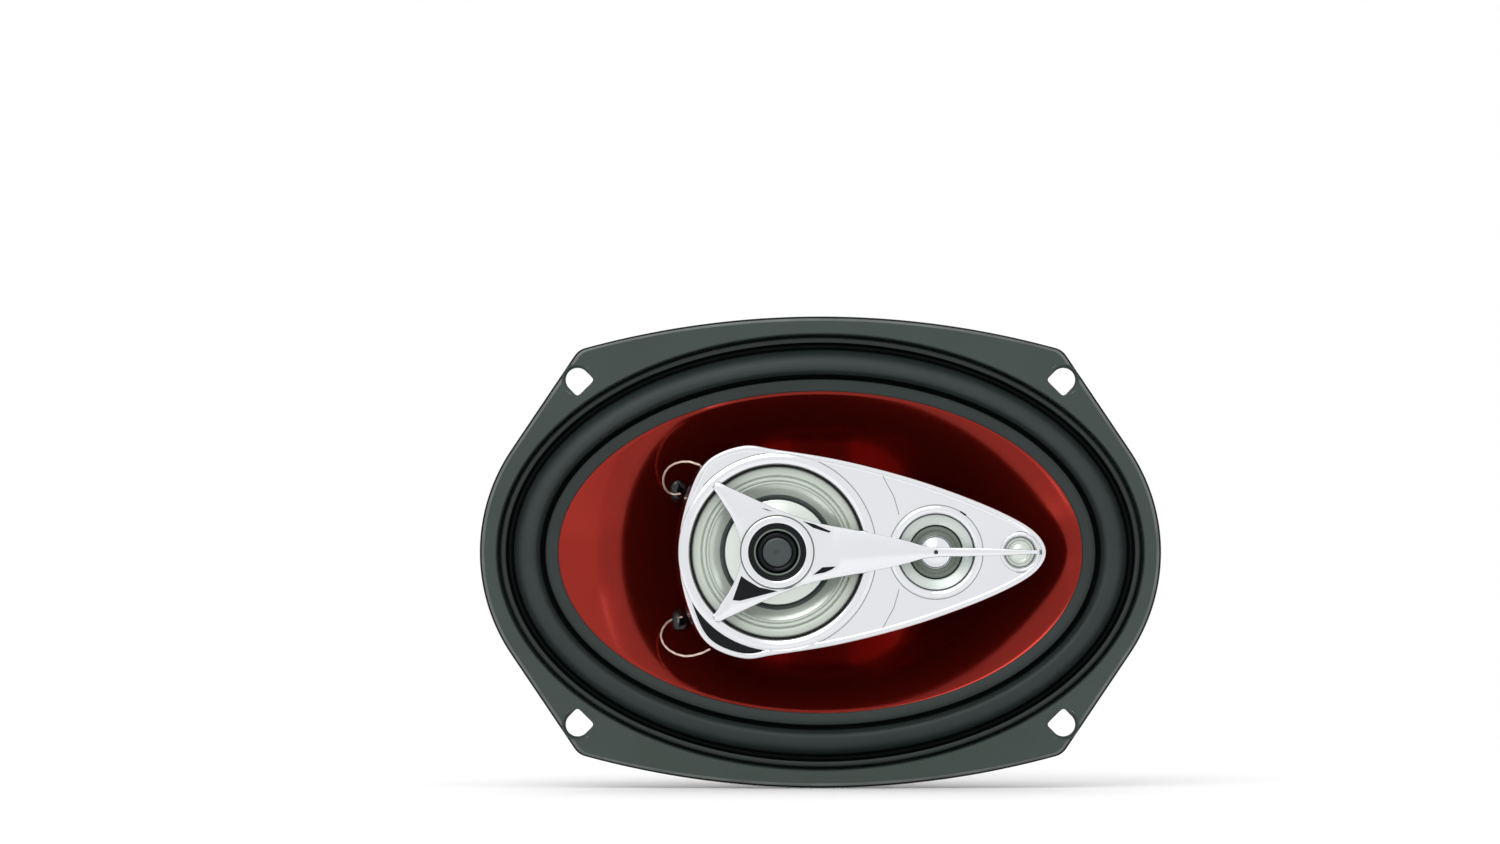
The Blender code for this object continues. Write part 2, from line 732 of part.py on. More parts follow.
def make_pod_cover(speaker):
    round_edge = 1.2 * MM
    rings = [
        pod_ring(POD_WALL, POD_FRONT - POD_WALL),
        pod_ring(POD_WALL, POD_FOOT),
        pod_ring(0, POD_FOOT),
        pod_ring(0, POD_FRONT - round_edge),
        pod_ring(round_edge * 0.3, POD_FRONT - round_edge * 0.3),
        pod_ring(round_edge, POD_FRONT),
    ]
    cover = place("pod_cover", mesh_of(closed_cup(rings), "pod_cover"), "bright", speaker)
    places = ((MID_X, MID_OPENING, 36), (SIDE_X, SIDE_OPENING, 24), (SUPER_X, SUPER_OPENING, 16))
    for number, (x, y) in enumerate(pillar_places(), 1):
        low = TRAY_INSIDE + GAP
        high = POD_FRONT - POD_WALL / 3
        at = (x, y, 0)
        pillar = round_helper(f"pillar_{number}", PILLAR_RADIUS, low, high, speaker, at, 12)
        combine(cover, pillar, "UNION")
        bore = SCREW_RADIUS + GAP
        high = SCREW_END + 2 * MM
        drill(cover, f"pillar_bore_{number}", bore, low - SHEET, high, speaker, at, 14)
    for number, (x, radius, steps) in enumerate(places, 1):
        low = POD_FRONT - 2 * POD_WALL
        drill(cover, f"opening_{number}", radius, low, 2 * POD_FRONT, speaker, (x, 0, 0), steps)


def make_pod_tray(speaker):
    rim = POD_FOOT - GAP
    rings = [
        pod_ring(POD_WALL, TRAY_INSIDE, TRAY_NARROW),
        pod_ring(POD_WALL, rim),
        pod_ring(0, rim),
        pod_ring(0, TRAY_FLOOR, TRAY_NARROW),
    ]
    tray = place("pod_tray", mesh_of(closed_cup(rings), "pod_tray"), "black", speaker)
    for number, (x, y) in enumerate(pillar_places() + post_screw_places(), 1):
        low = TRAY_FLOOR - SHEET
        high = TRAY_INSIDE + SHEET
        drill(tray, f"tray_bore_{number}", SCREW_RADIUS + GAP, low, high, speaker, (x, y, 0))


def post_screw_places():
    reach = POST_RADIUS + 2 * MM
    return [(0, reach), (0, -reach)]


def screw(name, head, shank_end, speaker, at):
    """A pan-head screw along the axis, its head's seat at one depth and its point at another."""
    wide, tall = SCREW_HEAD
    tall *= math.copysign(1, head - shank_end)
    profile = [
        (0, head + tall),
        (wide * 0.64, head + tall),
        (wide, head + tall * 0.46),
        (wide, head),
        (SCREW_RADIUS, head),
        (SCREW_RADIUS, shank_end),
        (0, shank_end),
    ]
    turned(name, profile, "zinc", speaker, at, 10)


def make_post(speaker):
    top = TRAY_FLOOR - GAP
    base = POLE_TOP + GAP
    wide = POLE_RADIUS - 1.5 * MM
    bore_top = POLE_TOP + BOLT_REACH + 1 * MM
    profile = (
        (0, top),
        (POST_FLANGE, top),
        (POST_FLANGE, top - 2.5 * MM),
        (POST_RADIUS, top - 4.5 * MM),
        (POST_RADIUS, base + 5 * MM),
        (wide, base + 3 * MM),
        (wide, base),
        (BORE_RADIUS, base),
        (BORE_RADIUS, bore_top),
        (0, bore_top),
    )
    post = turned("pod_post", profile, "zinc", speaker, steps=20)
    for number, (x, y) in enumerate(post_screw_places(), 1):
        low = top - 6 * MM
        bore = SCREW_RADIUS + GAP
        drill(post, f"post_bore_{number}", bore, low, top + SHEET, speaker, (x, y, 0))
        screw(f"post_screw_{number}", TRAY_INSIDE + GAP, top - 2.2 * MM, speaker, (x, y, 0))
    for number, (x, y) in enumerate(pillar_places(), 1):
        screw(f"pod_screw_{number}", TRAY_FLOOR - GAP, SCREW_END, speaker, (x, y, 0))


def bridge_outline():
    """Three-legged plate round the centre tweeter, with one leg a long bar out to the super tweeter."""
    tip = MID_OPENING + 1.5 * MM
    leg = math.radians(132.5)
    leg_x = MID_X + tip * math.cos(leg)
    leg_y = tip * math.sin(leg)
    bezel = MID_X + MID_OPENING
    upper = [
        (MID_X - COLLAR_RADIUS + 0.6 * MM, 0),
        (MID_X - COLLAR_RADIUS - 1.5 * MM, COLLAR_RADIUS - 2 * MM),
        (leg_x - 0.6 * MM, leg_y - 1.6 * MM),
        (leg_x + 1.4 * MM, leg_y + 0.8 * MM),
        (MID_X + 8.4 * MM, COLLAR_RADIUS - 1.3 * MM),
        (bezel, 7 * MM),
        (SIDE_X - SIDE_OPENING + 0.9 * MM, 4.5 * MM),
        (SIDE_X - 2.6 * MM, 2 * MM),
        (SIDE_X + SIDE_OPENING, 1.4 * MM),
        (SUPER_X - SUPER_OPENING, 1.2 * MM),
        (SUPER_X + SUPER_OPENING + 1.3 * MM, 0.7 * MM),
    ]
    return upper + [(x, -y) for x, y in reversed(upper[1:])]


def make_bridge(speaker):
    low = POD_FRONT + GAP
    high = low + BRIDGE_THICK
    plate = extruded("pod_bridge", bridge_outline(), low, high)
    bridge = place("pod_bridge", plate, "bright", speaker)
    at = (MID_X, 0, 0)
    collar = round_helper("collar", COLLAR_RADIUS, COLLAR_FOOT, high + 0.2 * MM, speaker, at, 28)
    combine(bridge, collar, "UNION")
    bore = round_helper("collar_bore", COLLAR_RADIUS - COLLAR_WALL, 0, 2 * high, speaker, at, 28)
    combine(bridge, bore, "DIFFERENCE")


# ---------------------------------------------------------------- pod drivers


def make_midrange(speaker, axis):
    at = (MID_X, 0, 0)
    top = UNDER_PLATE
    rim = MID_OPENING + 1.7 * MM
    wall = MID_OPENING - 0.1 * MM
    seat = top - 4.4 * MM
    shoulder = wall - 2.6 * MM
    yoke_radius = 13.8 * MM
    hug = yoke_radius + GAP
    frame = (
        (rim, top),
        (rim, top - 5.1 * MM),
        (hug + 3.4 * MM, -0.5 * MM),
        (hug, -0.5 * MM),
        (hug, 1 * MM),
        (hug + 2.9 * MM, 1 * MM),
        (shoulder, seat - 1.3 * MM),
        (shoulder, seat),
        (wall, seat),
        (wall, top),
    )
    turned("mid_frame", frame, "bright", speaker, at, 32)
    floor = seat + GAP
    lip = shoulder - 4 * MM
    surround = (
        (wall - GAP, floor + 0.6 * MM),
        (shoulder, floor + 0.6 * MM),
        (shoulder - 1.2 * MM, floor + 1.8 * MM),
        (shoulder - 2.6 * MM, floor + 0.7 * MM),
        (lip, floor + 0.7 * MM),
        (lip, floor + 0.2 * MM),
        (shoulder - 2.6 * MM, floor + 0.2 * MM),
        (shoulder - 1.2 * MM, floor + 1.2 * MM),
        (shoulder - 0.1 * MM, floor),
        (wall - GAP, floor),
    )
    turned("mid_surround", surround, "rubber", speaker, at, 32)
    edge = lip + 1.2 * MM
    thick = 0.6 * MM
    bend = 18.5 * MM
    coil = 8.3 * MM
    front = [
        (0, 7.6 * MM),
        (coil, 5.8 * MM),
        (bend - 1 * MM, 7.1 * MM),
        (bend, 6.9 * MM),
        (edge, floor - 0.2 * MM),
    ]
    cone = front + [(radius, z - thick) for radius, z in reversed(front)]
    turned("mid_cone", cone, "silver", axis, (0, 0, 0), 28)
    tube("mid_coil", coil - 0.7 * MM, coil, -1.5 * MM, 4.8 * MM, "copper", axis, (0, 0, 0), 24)
    lip_top = 1.6 * MM
    floor_z = -5 * MM
    yoke = (
        (0, floor_z),
        (yoke_radius, floor_z),
        (yoke_radius, lip_top),
        (coil + 0.6 * MM, lip_top),
        (coil + 0.6 * MM, 0),
        (yoke_radius - 1.6 * MM, 0),
        (yoke_radius - 1.6 * MM, floor_z + 1.6 * MM),
        (0, floor_z + 1.6 * MM),
    )
    turned("mid_yoke", yoke, "zinc", speaker, at, 24)
    pole = coil - 1.2 * MM
    disc("mid_magnet", pole - 0.5 * MM, floor_z + 1.6 * MM + GAP, -GAP, "ferrite", speaker, at, 24)
    disc("mid_pole_plate", pole, 0, 1.8 * MM, "zinc", speaker, at, 24)


def make_centre_tweeter(speaker, axis):
    at = (MID_X, 0, 0)
    outer = COLLAR_RADIUS - COLLAR_WALL - GAP
    back = COLLAR_FOOT - 1.7 * MM
    front = POD_FRONT + GAP + 2 * MM
    mouth = 7.5 * MM
    wall = 1.2 * MM
    case = (
        (0, back),
        (outer, back),
        (outer, front),
        (mouth, front),
        (mouth, front - wall),
        (outer - wall, front - wall),
        (outer - wall, back + wall),
        (0, back + wall),
    )
    turned("centre_tweeter_case", case, "black", speaker, at, 28)
    low = back + wall + GAP
    disc("centre_tweeter_magnet", outer - 2 * wall, low, low + 2.4 * MM, "ferrite", speaker, at, 24)
    edge = front - wall - 1.2 * MM
    thick = 0.5 * MM
    skin_front = [
        (0, front - 0.1 * MM),
        (3 * MM, front - 0.4 * MM),
        (5.2 * MM, front - 1.5 * MM),
        (6.6 * MM, edge - 0.2 * MM),
        (outer - wall - GAP, edge),
    ]
    dome = skin_front + [(radius, z - thick) for radius, z in reversed(skin_front)]
    turned("centre_tweeter_dome", dome, "black", axis, (0, 0, 0), 20)


def make_side_tweeter(speaker, axis):
    at = (SIDE_X, 0, 0)
    top = UNDER_PLATE
    throat = SIDE_OPENING - 3.9 * MM
    outer = SIDE_OPENING + 1.2 * MM
    frame = (
        (outer, top),
        (outer, 6.3 * MM),
        (throat, 6.3 * MM),
        (throat, top - 1.9 * MM),
        (SIDE_OPENING + 0.2 * MM, top),
    )
    turned("side_tweeter_frame", frame, "silver", speaker, at, 24)
    coil = 6.8 * MM
    rim = throat - GAP
    dome = (
        (0, 13 * MM),
        (3.5 * MM, 12.5 * MM),
        (5.8 * MM, 11.3 * MM),
        (coil, 10.9 * MM),
        (rim, 11.3 * MM),
        (rim, 10.8 * MM),
        (coil, 10.4 * MM),
        (coil, 4.5 * MM),
        (coil - 0.6 * MM, 4.5 * MM),
        (coil - 0.6 * MM, 10.5 * MM),
        (3.4 * MM, 12 * MM),
        (0, 12.4 * MM),
    )
    turned("side_tweeter_dome", dome, "silver", axis, (0, 0, 0), 20)
    low = -0.5 * MM
    pot = coil + 0.7 * MM
    motor = (
        (0, low),
        (rim, low),
        (rim, 5.9 * MM),
        (pot, 5.9 * MM),
        (pot, 2.5 * MM),
        (coil - 1.2 * MM, 2.5 * MM),
        (coil - 1.2 * MM, 9.3 * MM),
        (0, 9.3 * MM),
    )
    turned("side_tweeter_motor", motor, "ferrite", speaker, at, 20)


def make_super_tweeter(speaker, axis):
    at = (SUPER_X, 0, 0)
    outer = SUPER_OPENING + 1.2 * MM
    inner = SUPER_OPENING + 0.1 * MM
    floor = 4 * MM
    case = (
        (0, floor),
        (outer, floor),
        (outer, UNDER_PLATE),
        (inner, UNDER_PLATE),
        (inner, floor + 1.4 * MM),
        (0, floor + 1.4 * MM),
    )
    turned("super_tweeter_case", case, "silver", speaker, at, 24)
    low = floor + 1.4 * MM + GAP
    disc("super_tweeter_piezo", inner - 0.8 * MM, low, low + 1.5 * MM, "ferrite", speaker, at, 20)
    rim = inner - GAP
    front = 12 * MM
    thick = 0.5 * MM
    diaphragm = (
        (0, front + thick),
        (rim * 0.6, front),
        (rim, front),
        (rim, front - thick),
        (0, front - thick),
    )
    turned("super_tweeter_diaphragm", diaphragm, "silver", axis, (0, 0, 0), 20)


def make_capacitors(speaker):
    """Two can capacitors lying across the tray's floor between the midrange and the side tweeter."""
    radius = 3 * MM
    length = 12 * MM
    z = TRAY_INSIDE + GAP + radius
    x = MID_X + MID_OPENING - 5 * MM
    for number, side in enumerate((-1, 1), 1):
        profile = ((0, -length / 2), (radius, -length / 2), (radius, length / 2), (0, length / 2))
        at = (x, side * (length / 2 + 1 * MM), z)
        can = turned(f"capacitor_{number}", profile, "black", speaker, at, 20)
        can.rotation_euler.x = math.pi / 2


# ---------------------------------------------------------------- connector and leads


def arm_frame():
    """Middle of the left arm's back, the direction down the arm, and the direction out of its back."""
    a0, _, z0 = wall_ring(0)
    a1, _, z1 = wall_ring(1)
    down = Vector((a0 - a1, 0, z1 - z0)).normalized()
    out = Vector((down.z, 0, -down.x))
    share = 0.55
    front = Vector((-(a0 + (a1 - a0) * share), 0, z0 + (z1 - z0) * share))
    return front + out * SHEET, down, out


def box_data(name, across, along, thick):
    bm = bmesh.new()
    bmesh.ops.create_cube(bm, size=1)
    bmesh.ops.scale(bm, vec=(along, across, thick), verts=bm.verts)
    data = bpy.data.meshes.new(name)
    bm.to_mesh(data)
    bm.free()
    return data


def lay(obj, centre, down, out):
    """Turns a flat piece so that its X runs down the arm and its Z out of the arm's back."""
    obj.rotation_euler = (0, math.atan2(-down.z, down.x), 0)
    if (obj.rotation_euler.to_matrix() @ Vector((0, 0, 1))).dot(out) < 0:
        obj.rotation_euler = (0, math.atan2(-down.z, down.x) + math.pi, 0)
    obj.location = centre


def make_connector(speaker, basket):
    centre, down, out = arm_frame()
    across, along, thick = BOARD
    middle = centre + out * (ARM_BOW + GAP + thick / 2)
    data = box_data("terminal_board", across, along, thick)
    board = place("terminal_board", data, "black", speaker)
    lay(board, middle, down, out)
    for number, side in enumerate((-1, 1), 1):
        spot = middle + down * side * BOARD_RIVETS
        reach = 4 * MM
        for target, label in ((board, "board"), (basket, "arm")):
            name = f"{label}_bore_{number}"
            bore = drill(target, name, BOARD_RIVET_RADIUS + GAP, -reach, reach, speaker, steps=16)
            lay(bore, spot, down, out)
        head = thick / 2 + GAP
        inside = -(thick / 2 + ARM_BOW + 2 * GAP + SHEET + 1.6 * MM)
        profile = (
            (0, head + 0.9 * MM),
            (1.4 * MM, head + 0.7 * MM),
            (2.2 * MM, head),
            (BOARD_RIVET_RADIUS, head),
            (BOARD_RIVET_RADIUS, inside),
            (0, inside),
        )
        rivet = turned(f"terminal_rivet_{number}", profile, "zinc", speaker, (0, 0, 0), 10)
        lay(rivet, spot, down, out)
    wide, narrow = TAB_WIDTHS
    for name, side, width in (("terminal_positive", 1, wide), ("terminal_negative", -1, narrow)):
        tab = place(name, tab_mesh(name, width), "zinc", speaker)
        spot = middle + out * (thick / 2 + GAP) + Vector((0, side * TAB_SPREAD, 0))
        lay(tab, spot, down, out)


def tab_mesh(name, width):
    """A bent blade: a foot flat on the board and a blade that stands out of it."""
    half = TAB_THICK / 2
    side = [
        (-TAB_FOOT, 0),
        (half, 0),
        (half, TAB_LENGTH),
        (-half, TAB_LENGTH),
        (-half, TAB_THICK),
        (-TAB_FOOT, TAB_THICK),
    ]
    bm = skin([[(x, -width / 2, z) for x, z in side], [(x, width / 2, z) for x, z in side]], False)
    bm.verts.ensure_lookup_table()
    bm.faces.new(bm.verts[: len(side)])
    bm.faces.new(bm.verts[len(side) :])
    bmesh.ops.recalc_face_normals(bm, faces=bm.faces)
    data = bpy.data.meshes.new(name)
    bm.to_mesh(data)
    bm.free()
    return data


def eyelet_spots():
    """Places on the cone's front where the leads pass it."""
    return [Vector((x * MM, y * MM, cone_height(x * MM, y * MM))) for x, y in EYELET_PLACES]


def cone_normal(spot):
    step = 1 * MM
    rise_x = (cone_height(spot.x + step, spot.y) - cone_height(spot.x - step, spot.y)) / (2 * step)
    rise_y = (cone_height(spot.x, spot.y + step) - cone_height(spot.x, spot.y - step)) / (2 * step)
    return Vector((-rise_x, -rise_y, 1)).normalized()


def make_eyelets(axis):
    for number, spot in enumerate(eyelet_spots(), 1):
        low = GAP + 0.25 * MM
        profile = (
            (0, low),
            (EYELET, low),
            (EYELET * 0.85, low + EYELET_HEIGHT * 0.58),
            (EYELET * 0.4, low + EYELET_HEIGHT * 0.95),
            (0, low + EYELET_HEIGHT),
        )
        blob = turned(f"lead_eyelet_{number}", profile, "black", axis, spot, 16)
        blob.rotation_euler = Vector((0, 0, 1)).rotation_difference(cone_normal(spot)).to_euler()


def lead(name, route, speaker):
    """A thin tinsel lead along a smooth curve through its route's points."""
    points = []
    for k in range(len(route) - 1):
        before = route[k - 1] if k else route[0] * 2 - route[1]
        after = route[k + 2] if k + 2 < len(route) else route[-1] * 2 - route[-2]
        points += [catmull(before, route[k], route[k + 1], after, step / 3) for step in range(3)]
    points.append(route[-1])
    curve = bpy.data.curves.new(name, "CURVE")
    curve.dimensions = "3D"
    curve.bevel_depth = LEAD_RADIUS
    curve.bevel_resolution = 1
    curve.use_fill_caps = True
    spline = curve.splines.new("POLY")
    spline.points.add(len(points) - 1)
    for place_on, point in zip(spline.points, points):
        place_on.co = (*point, 1)
    place(name, curve, "copper", speaker)


def make_leads(speaker):
    centre, down, out = arm_frame()
    inside = centre + out * (ARM_BOW + GAP)
    loops = (UPPER_LOOP, LOWER_LOOP)
    for number, (spot, side) in enumerate(zip(eyelet_spots(), (1, -1)), 1):
        normal = cone_normal(spot)
        behind = spot - normal * (PAPER + 3 * GAP)
        start = inside - out * 3 * GAP + Vector((0, side * TAB_SPREAD, 0))
        rear = [
            start,
            start - out * 5 * MM,
            start - out * 6 * MM + Vector((8 * MM, side * 6 * MM, 0)),
            behind + Vector((-5 * MM, side * 3 * MM, -9 * MM)),
            behind - normal * 3 * MM,
            behind,
        ]
        lead(f"lead_rear_{number}", rear, speaker)
        front = front_route(spot, normal, loops[number - 1], LEAD_ENDS[number - 1])
        lead(f"lead_front_{number}", front, speaker)


def front_route(spot, normal, knees, end):
    """From an eyelet, out over the cone in a loop, and in to the pod's flank."""
    on_eyelet = spot + normal * (EYELET_HEIGHT + 4 * GAP)
    wall = Vector((end[0] * MM, end[1] * MM, LEAD_END_Z))
    loop = []
    for x, y, above in knees:
        loop.append(Vector((x * MM, y * MM, cone_height(x * MM, y * MM) + above * MM)))
    return [on_eyelet, on_eyelet + normal * 1.5 * MM, *loop, wall]


def main():
    clear_scene()
    speaker = axis_empty("speaker")
    speaker.rotation_euler.x = math.pi / 2
    cone_axis = axis_empty("cone_axis", 0, speaker)
    mid_axis = axis_empty("mid_axis", MID_X, speaker)
    centre_axis = axis_empty("centre_tweeter_axis", MID_X, speaker)
    side_axis = axis_empty("side_tweeter_axis", SIDE_X, speaker)
    super_axis = axis_empty("super_tweeter_axis", SUPER_X, speaker)
    basket = make_basket(speaker)
    make_rivets(speaker)
    make_surround(speaker)
    make_cone(cone_axis)
    make_coil(cone_axis)
    make_spider(speaker)
    make_motor(speaker)
    make_pod_cover(speaker)
    make_pod_tray(speaker)
    make_post(speaker)
    make_bridge(speaker)
    make_midrange(speaker, mid_axis)
    make_centre_tweeter(speaker, centre_axis)
    make_side_tweeter(speaker, side_axis)
    make_super_tweeter(speaker, super_axis)
    make_capacitors(speaker)
    make_connector(speaker, basket)
    make_eyelets(cone_axis)
    make_leads(speaker)


main()
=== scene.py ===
"""The looks of the oval coaxial car speaker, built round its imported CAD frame.

Sizes are in millimetres in the speaker's own axes: x along the oval, y up across it, and depth forward out of the
cone, measured from the plane that the flange seats on. place() turns them into the frame's metres.
"""

import math

import bmesh
import bpy
import numpy as np
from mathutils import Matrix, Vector


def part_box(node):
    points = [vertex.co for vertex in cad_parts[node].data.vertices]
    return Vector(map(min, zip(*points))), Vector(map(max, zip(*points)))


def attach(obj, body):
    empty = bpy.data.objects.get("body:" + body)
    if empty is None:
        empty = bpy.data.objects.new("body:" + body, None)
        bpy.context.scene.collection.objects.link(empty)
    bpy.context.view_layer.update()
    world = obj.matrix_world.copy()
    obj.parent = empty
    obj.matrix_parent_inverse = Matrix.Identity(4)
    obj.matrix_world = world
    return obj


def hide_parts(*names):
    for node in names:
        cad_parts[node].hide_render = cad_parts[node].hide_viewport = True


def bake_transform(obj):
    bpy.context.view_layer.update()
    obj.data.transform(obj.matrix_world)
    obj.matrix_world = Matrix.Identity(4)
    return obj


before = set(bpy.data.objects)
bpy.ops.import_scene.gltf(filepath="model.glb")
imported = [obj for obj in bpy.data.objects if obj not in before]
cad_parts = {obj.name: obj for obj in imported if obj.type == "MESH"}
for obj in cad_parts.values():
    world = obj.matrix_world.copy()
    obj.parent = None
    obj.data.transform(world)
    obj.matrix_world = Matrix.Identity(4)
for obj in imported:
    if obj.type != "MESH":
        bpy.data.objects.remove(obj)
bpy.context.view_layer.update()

MM = 0.001
TAU = 2 * math.pi


def node_box(node):
    """A node's (left, low, back) and (right, high, front), in the speaker's own axes."""
    low, high = (Vector(corner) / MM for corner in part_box(node))
    return (low.x, low.z, -high.y), (high.x, high.z, -low.y)


# ---- sizes, from the frame and as in the CAD

HALF_LENGTH, HALF_HEIGHT, _ = node_box("basket")[1]
SHEET = 1.2
BORDER_END = 5.9
BORDER_TOP = 6.1
OPENING_A = HALF_LENGTH - BORDER_END
OPENING_B = HALF_HEIGHT - BORDER_TOP
END_FLATTER = 12.3
EAR_ANGLE = math.radians(35.36)
HOLE_OUTSIDE = 8.45
HOLE_SIZE = 8.2
DIMPLE_RADIUS = 5.0
EAR_ROUND = 6.3
EAR_CORNER = (-4.2, 4.9)
LEDGE_Z = -5.0
LEDGE_WIDTH = 6.0
RIM_Z = -13.0
RIM_INSET = 8.5
SHELF_Z = -48.6
SHELF_RADIUS = 50.0
SHELF_WIDTH = 7.0
CUP_Z = -56.8
CUP_RADIUS = 41.5
CUP_HOLE = 20.0
ARM_HALF_ANGLE = math.radians(8)
WINDOW_HALF_ANGLE = math.radians(22)
CUP_OUTSIDE = 5.5
GLUE_LINE = 0.3
TOP_PLATE_THICK = 5.0
MAGNET_THICK = 14.0
YOKE_THICK = 5.0
PLATE_Z = CUP_Z - SHEET - GLUE_LINE
BACK_Z = PLATE_Z - TOP_PLATE_THICK - MAGNET_THICK - YOKE_THICK - 2 * GLUE_LINE
ACROSS = 0.93
CONE_INSET = 21.2
CONE_EDGE_Z = -2.3
NECK_Z = -43.0
NECK = 13.1
MID_X = -14.8
SIDE_X = 39.6
SUPER_X = 68.4
MID_OPENING = 30.1
SIDE_OPENING = 13.2
SUPER_OPENING = 5.3
POD_FRONT = 16.0
POD_FOOT = 2.3
POD_LEFT = MID_X - MID_OPENING - 3.9
POD_TIP = SUPER_X + SUPER_OPENING + 3.7
POD_HALF = MID_OPENING + 6.5
POD_MIDDLE = (POD_LEFT + POD_TIP) / 2
TRAY_FLOOR = -8.5
BRIDGE_LOW = POD_FRONT + 0.3
BRIDGE_HIGH = BRIDGE_LOW + 2.3

FLANGE_DEPTH = 2.4  # from the seat plane to the flat of the flange's front
EDGE_BANDS = {0: 1, 1: 1, 2: 1, 3: 1, 4: 2, 5: 2}  # rows of faces in the lip's painted shade and in the bend's painted highlight
BASKET_STEPS = 720
OVAL_STEPS = 288  # round the surround and the cone
RIVET_CIRCLE = 30.0
RIVET_BORE = 2.1
RUBBER_THICK = 0.7
CLOTH_THICK = 0.45
PAPER_THICK = 0.6
CONE_BOW = 0.12  # how far the cone's wall bows forward, as a share of its depth
PLATE_FACE = POD_FRONT - 0.5
POD_FLARE = 1.6  # how much wider the pod's blunt end is at its foot
TRAY_NARROW = 0.8  # the tray's floor as a share of its rim
BEZELS = ((MID_X, MID_OPENING, 3.9), (SIDE_X, SIDE_OPENING, 2.9), (SUPER_X, SUPER_OPENING, 1.6))
LINE = 0.24
JOINT_REACH = (138, 179, 100)  # degrees to which the joint round each bezel shows
NOTCHES = (((47.9, 13.9), (49.9, 12.6), 0.7), ((71.0, -5.2), (72.6, -6.3), 0.6))
CRESCENT = (204, 262)  # degrees about the midrange
CRESCENT_RADIUS = 33.3
PILLAR_OUT = 6.7
PILLAR_ACROSS = 16.0
SCREW_BORE = 1.6
POST_SCREWS = ((0, 8), (0, -8))
SCREW_RADIUS = 1.3
TWEETER_BACK = 10.3
TWEETER_FRONT = 18.3
ARM_SHARE = 0.55  # how far down the arm the connector sits
BLADE_ACROSS = 13
EYELET_PLACES = ((-49.7, 21.4), (-49.0, -23.8))
UPPER_LOOP = ((-51.8, 20.3, -15.5), (-53.9, 22.2, -12.5), (-54.4, 25.6, -9), (-52.8, 28.9, -5.5))
UPPER_LOOP += ((-49.6, 30.8, -2.5), (-45.5, 31.2, -0.5), (-41.5, 30, 0.6))
LOWER_LOOP = ((-51.5, -23.4, -15.5), (-54, -25.5, -12.5), (-55.2, -29, -9), (-53.6, -32.6, -5.5))
LOWER_LOOP += ((-50.2, -35, -3), (-45.8, -35.9, -1), (-41.5, -35, 0.2), (-38, -33.4, 0.6))

FLOOR = 9000
FADE = (0.3, 0.9)  # metres from the object over which the floor turns into the white of the studio
FRAME_WIDTH = 0.5175  # metres across the picture at the flange
OFF_CENTRE = (0.0243, -0.0449)  # the object's centre from the picture's, right and up
CAMERA_DISTANCE = 2.6
SENSOR = 36

# ---- mesh tools


def place(points):
    """Points of (x, y, depth) in millimetres as the frame's metres."""
    points = np.asarray(points, float).reshape(-1, 3)
    return np.stack([points[:, 0], -points[:, 2], points[:, 1]], axis=1) * MM


def smooth(data, sharp):
    data.shade_smooth()
    data.set_sharp_from_angle(angle=math.radians(sharp))


def new_mesh(name, vertices, faces, sharp=50):
    data = bpy.data.meshes.new(name)
    data.from_pydata(place(vertices).tolist(), [], faces)
    tidy = bmesh.new()
    tidy.from_mesh(data)
    bmesh.ops.triangulate(tidy, faces=[face for face in tidy.faces if len(face.verts) > 4])
    bmesh.ops.recalc_face_normals(tidy, faces=tidy.faces)
    tidy.to_mesh(data)
    tidy.free()
    smooth(data, sharp)
    return data


def link(name, data):
    obj = bpy.data.objects.new(name, data)
    bpy.context.collection.objects.link(obj)
    return obj


def piece(name, data, material, nodes=(), body="frame"):
    """Links a mesh as a finished piece that rides on a body and stands for CAD nodes."""
    obj = link(name, data)
    obj.data.materials.append(material)
    if body:
        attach(obj, body)
    if nodes:
        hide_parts(*nodes)
    return obj


def bend_with(obj):
    """Bakes a soft piece's placement into its mesh."""
    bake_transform(obj)


def skin(rings, closed=True):
    """(vertices, faces) between each ring of points and the next; a ring of one point is a tip."""
    starts = np.cumsum([0] + [len(ring) for ring in rings])
    faces = []
    pairs = list(zip(range(len(rings)), list(range(1, len(rings))) + ([0] if closed else [])))
    for low, high in pairs:
        count_low, count_high = len(rings[low]), len(rings[high])
        count = max(count_low, count_high)
        for k in range(count):
            corners = (
                starts[low] + k % count_low,
                starts[low] + (k + 1) % count_low,
                starts[high] + (k + 1) % count_high,
                starts[high] + k % count_high,
            )
            faces.append([int(corner) for corner in dict.fromkeys(corners)])
    return np.concatenate([np.asarray(ring, float).reshape(-1, 3) for ring in rings]), faces


def rounded(profile, radius, steps=4, closed=True):
    """A profile's points with each corner rounded, by at most the given radius."""
    points = [Vector(point) for point in profile]
    count = len(points)
    result = []
    for k, corner in enumerate(points):
        if not closed and k in (0, count - 1):
            result.append(tuple(corner))
            continue
        before, after = points[k - 1] - corner, points[(k + 1) % count] - corner
        reach = min(radius, before.length * 0.45, after.length * 0.45)
        start, end = corner + before.normalized() * reach, corner + after.normalized() * reach
        for step in range(steps + 1):
            t = step / steps
            result.append(tuple(start * (1 - t) ** 2 + corner * 2 * t * (1 - t) + end * t * t))
    return result


def ellipse(a, b, z, steps):
    turns = np.arange(steps) * TAU / steps
    return np.stack([a * np.cos(turns), b * np.sin(turns), np.full(steps, z)], axis=1)


def ring(radius, z, steps):
    """A circle about the speaker's axis, or one point where the radius is nothing."""
    return ellipse(radius, radius, z, steps) if radius > 1e-6 else np.array([(0.0, 0.0, z)])


def flat_rings(outline, depths):
    """An outline at each of some depths."""
    outline = np.asarray(outline)
    return [np.column_stack([outline, np.full(len(outline), z)]) for z in depths]


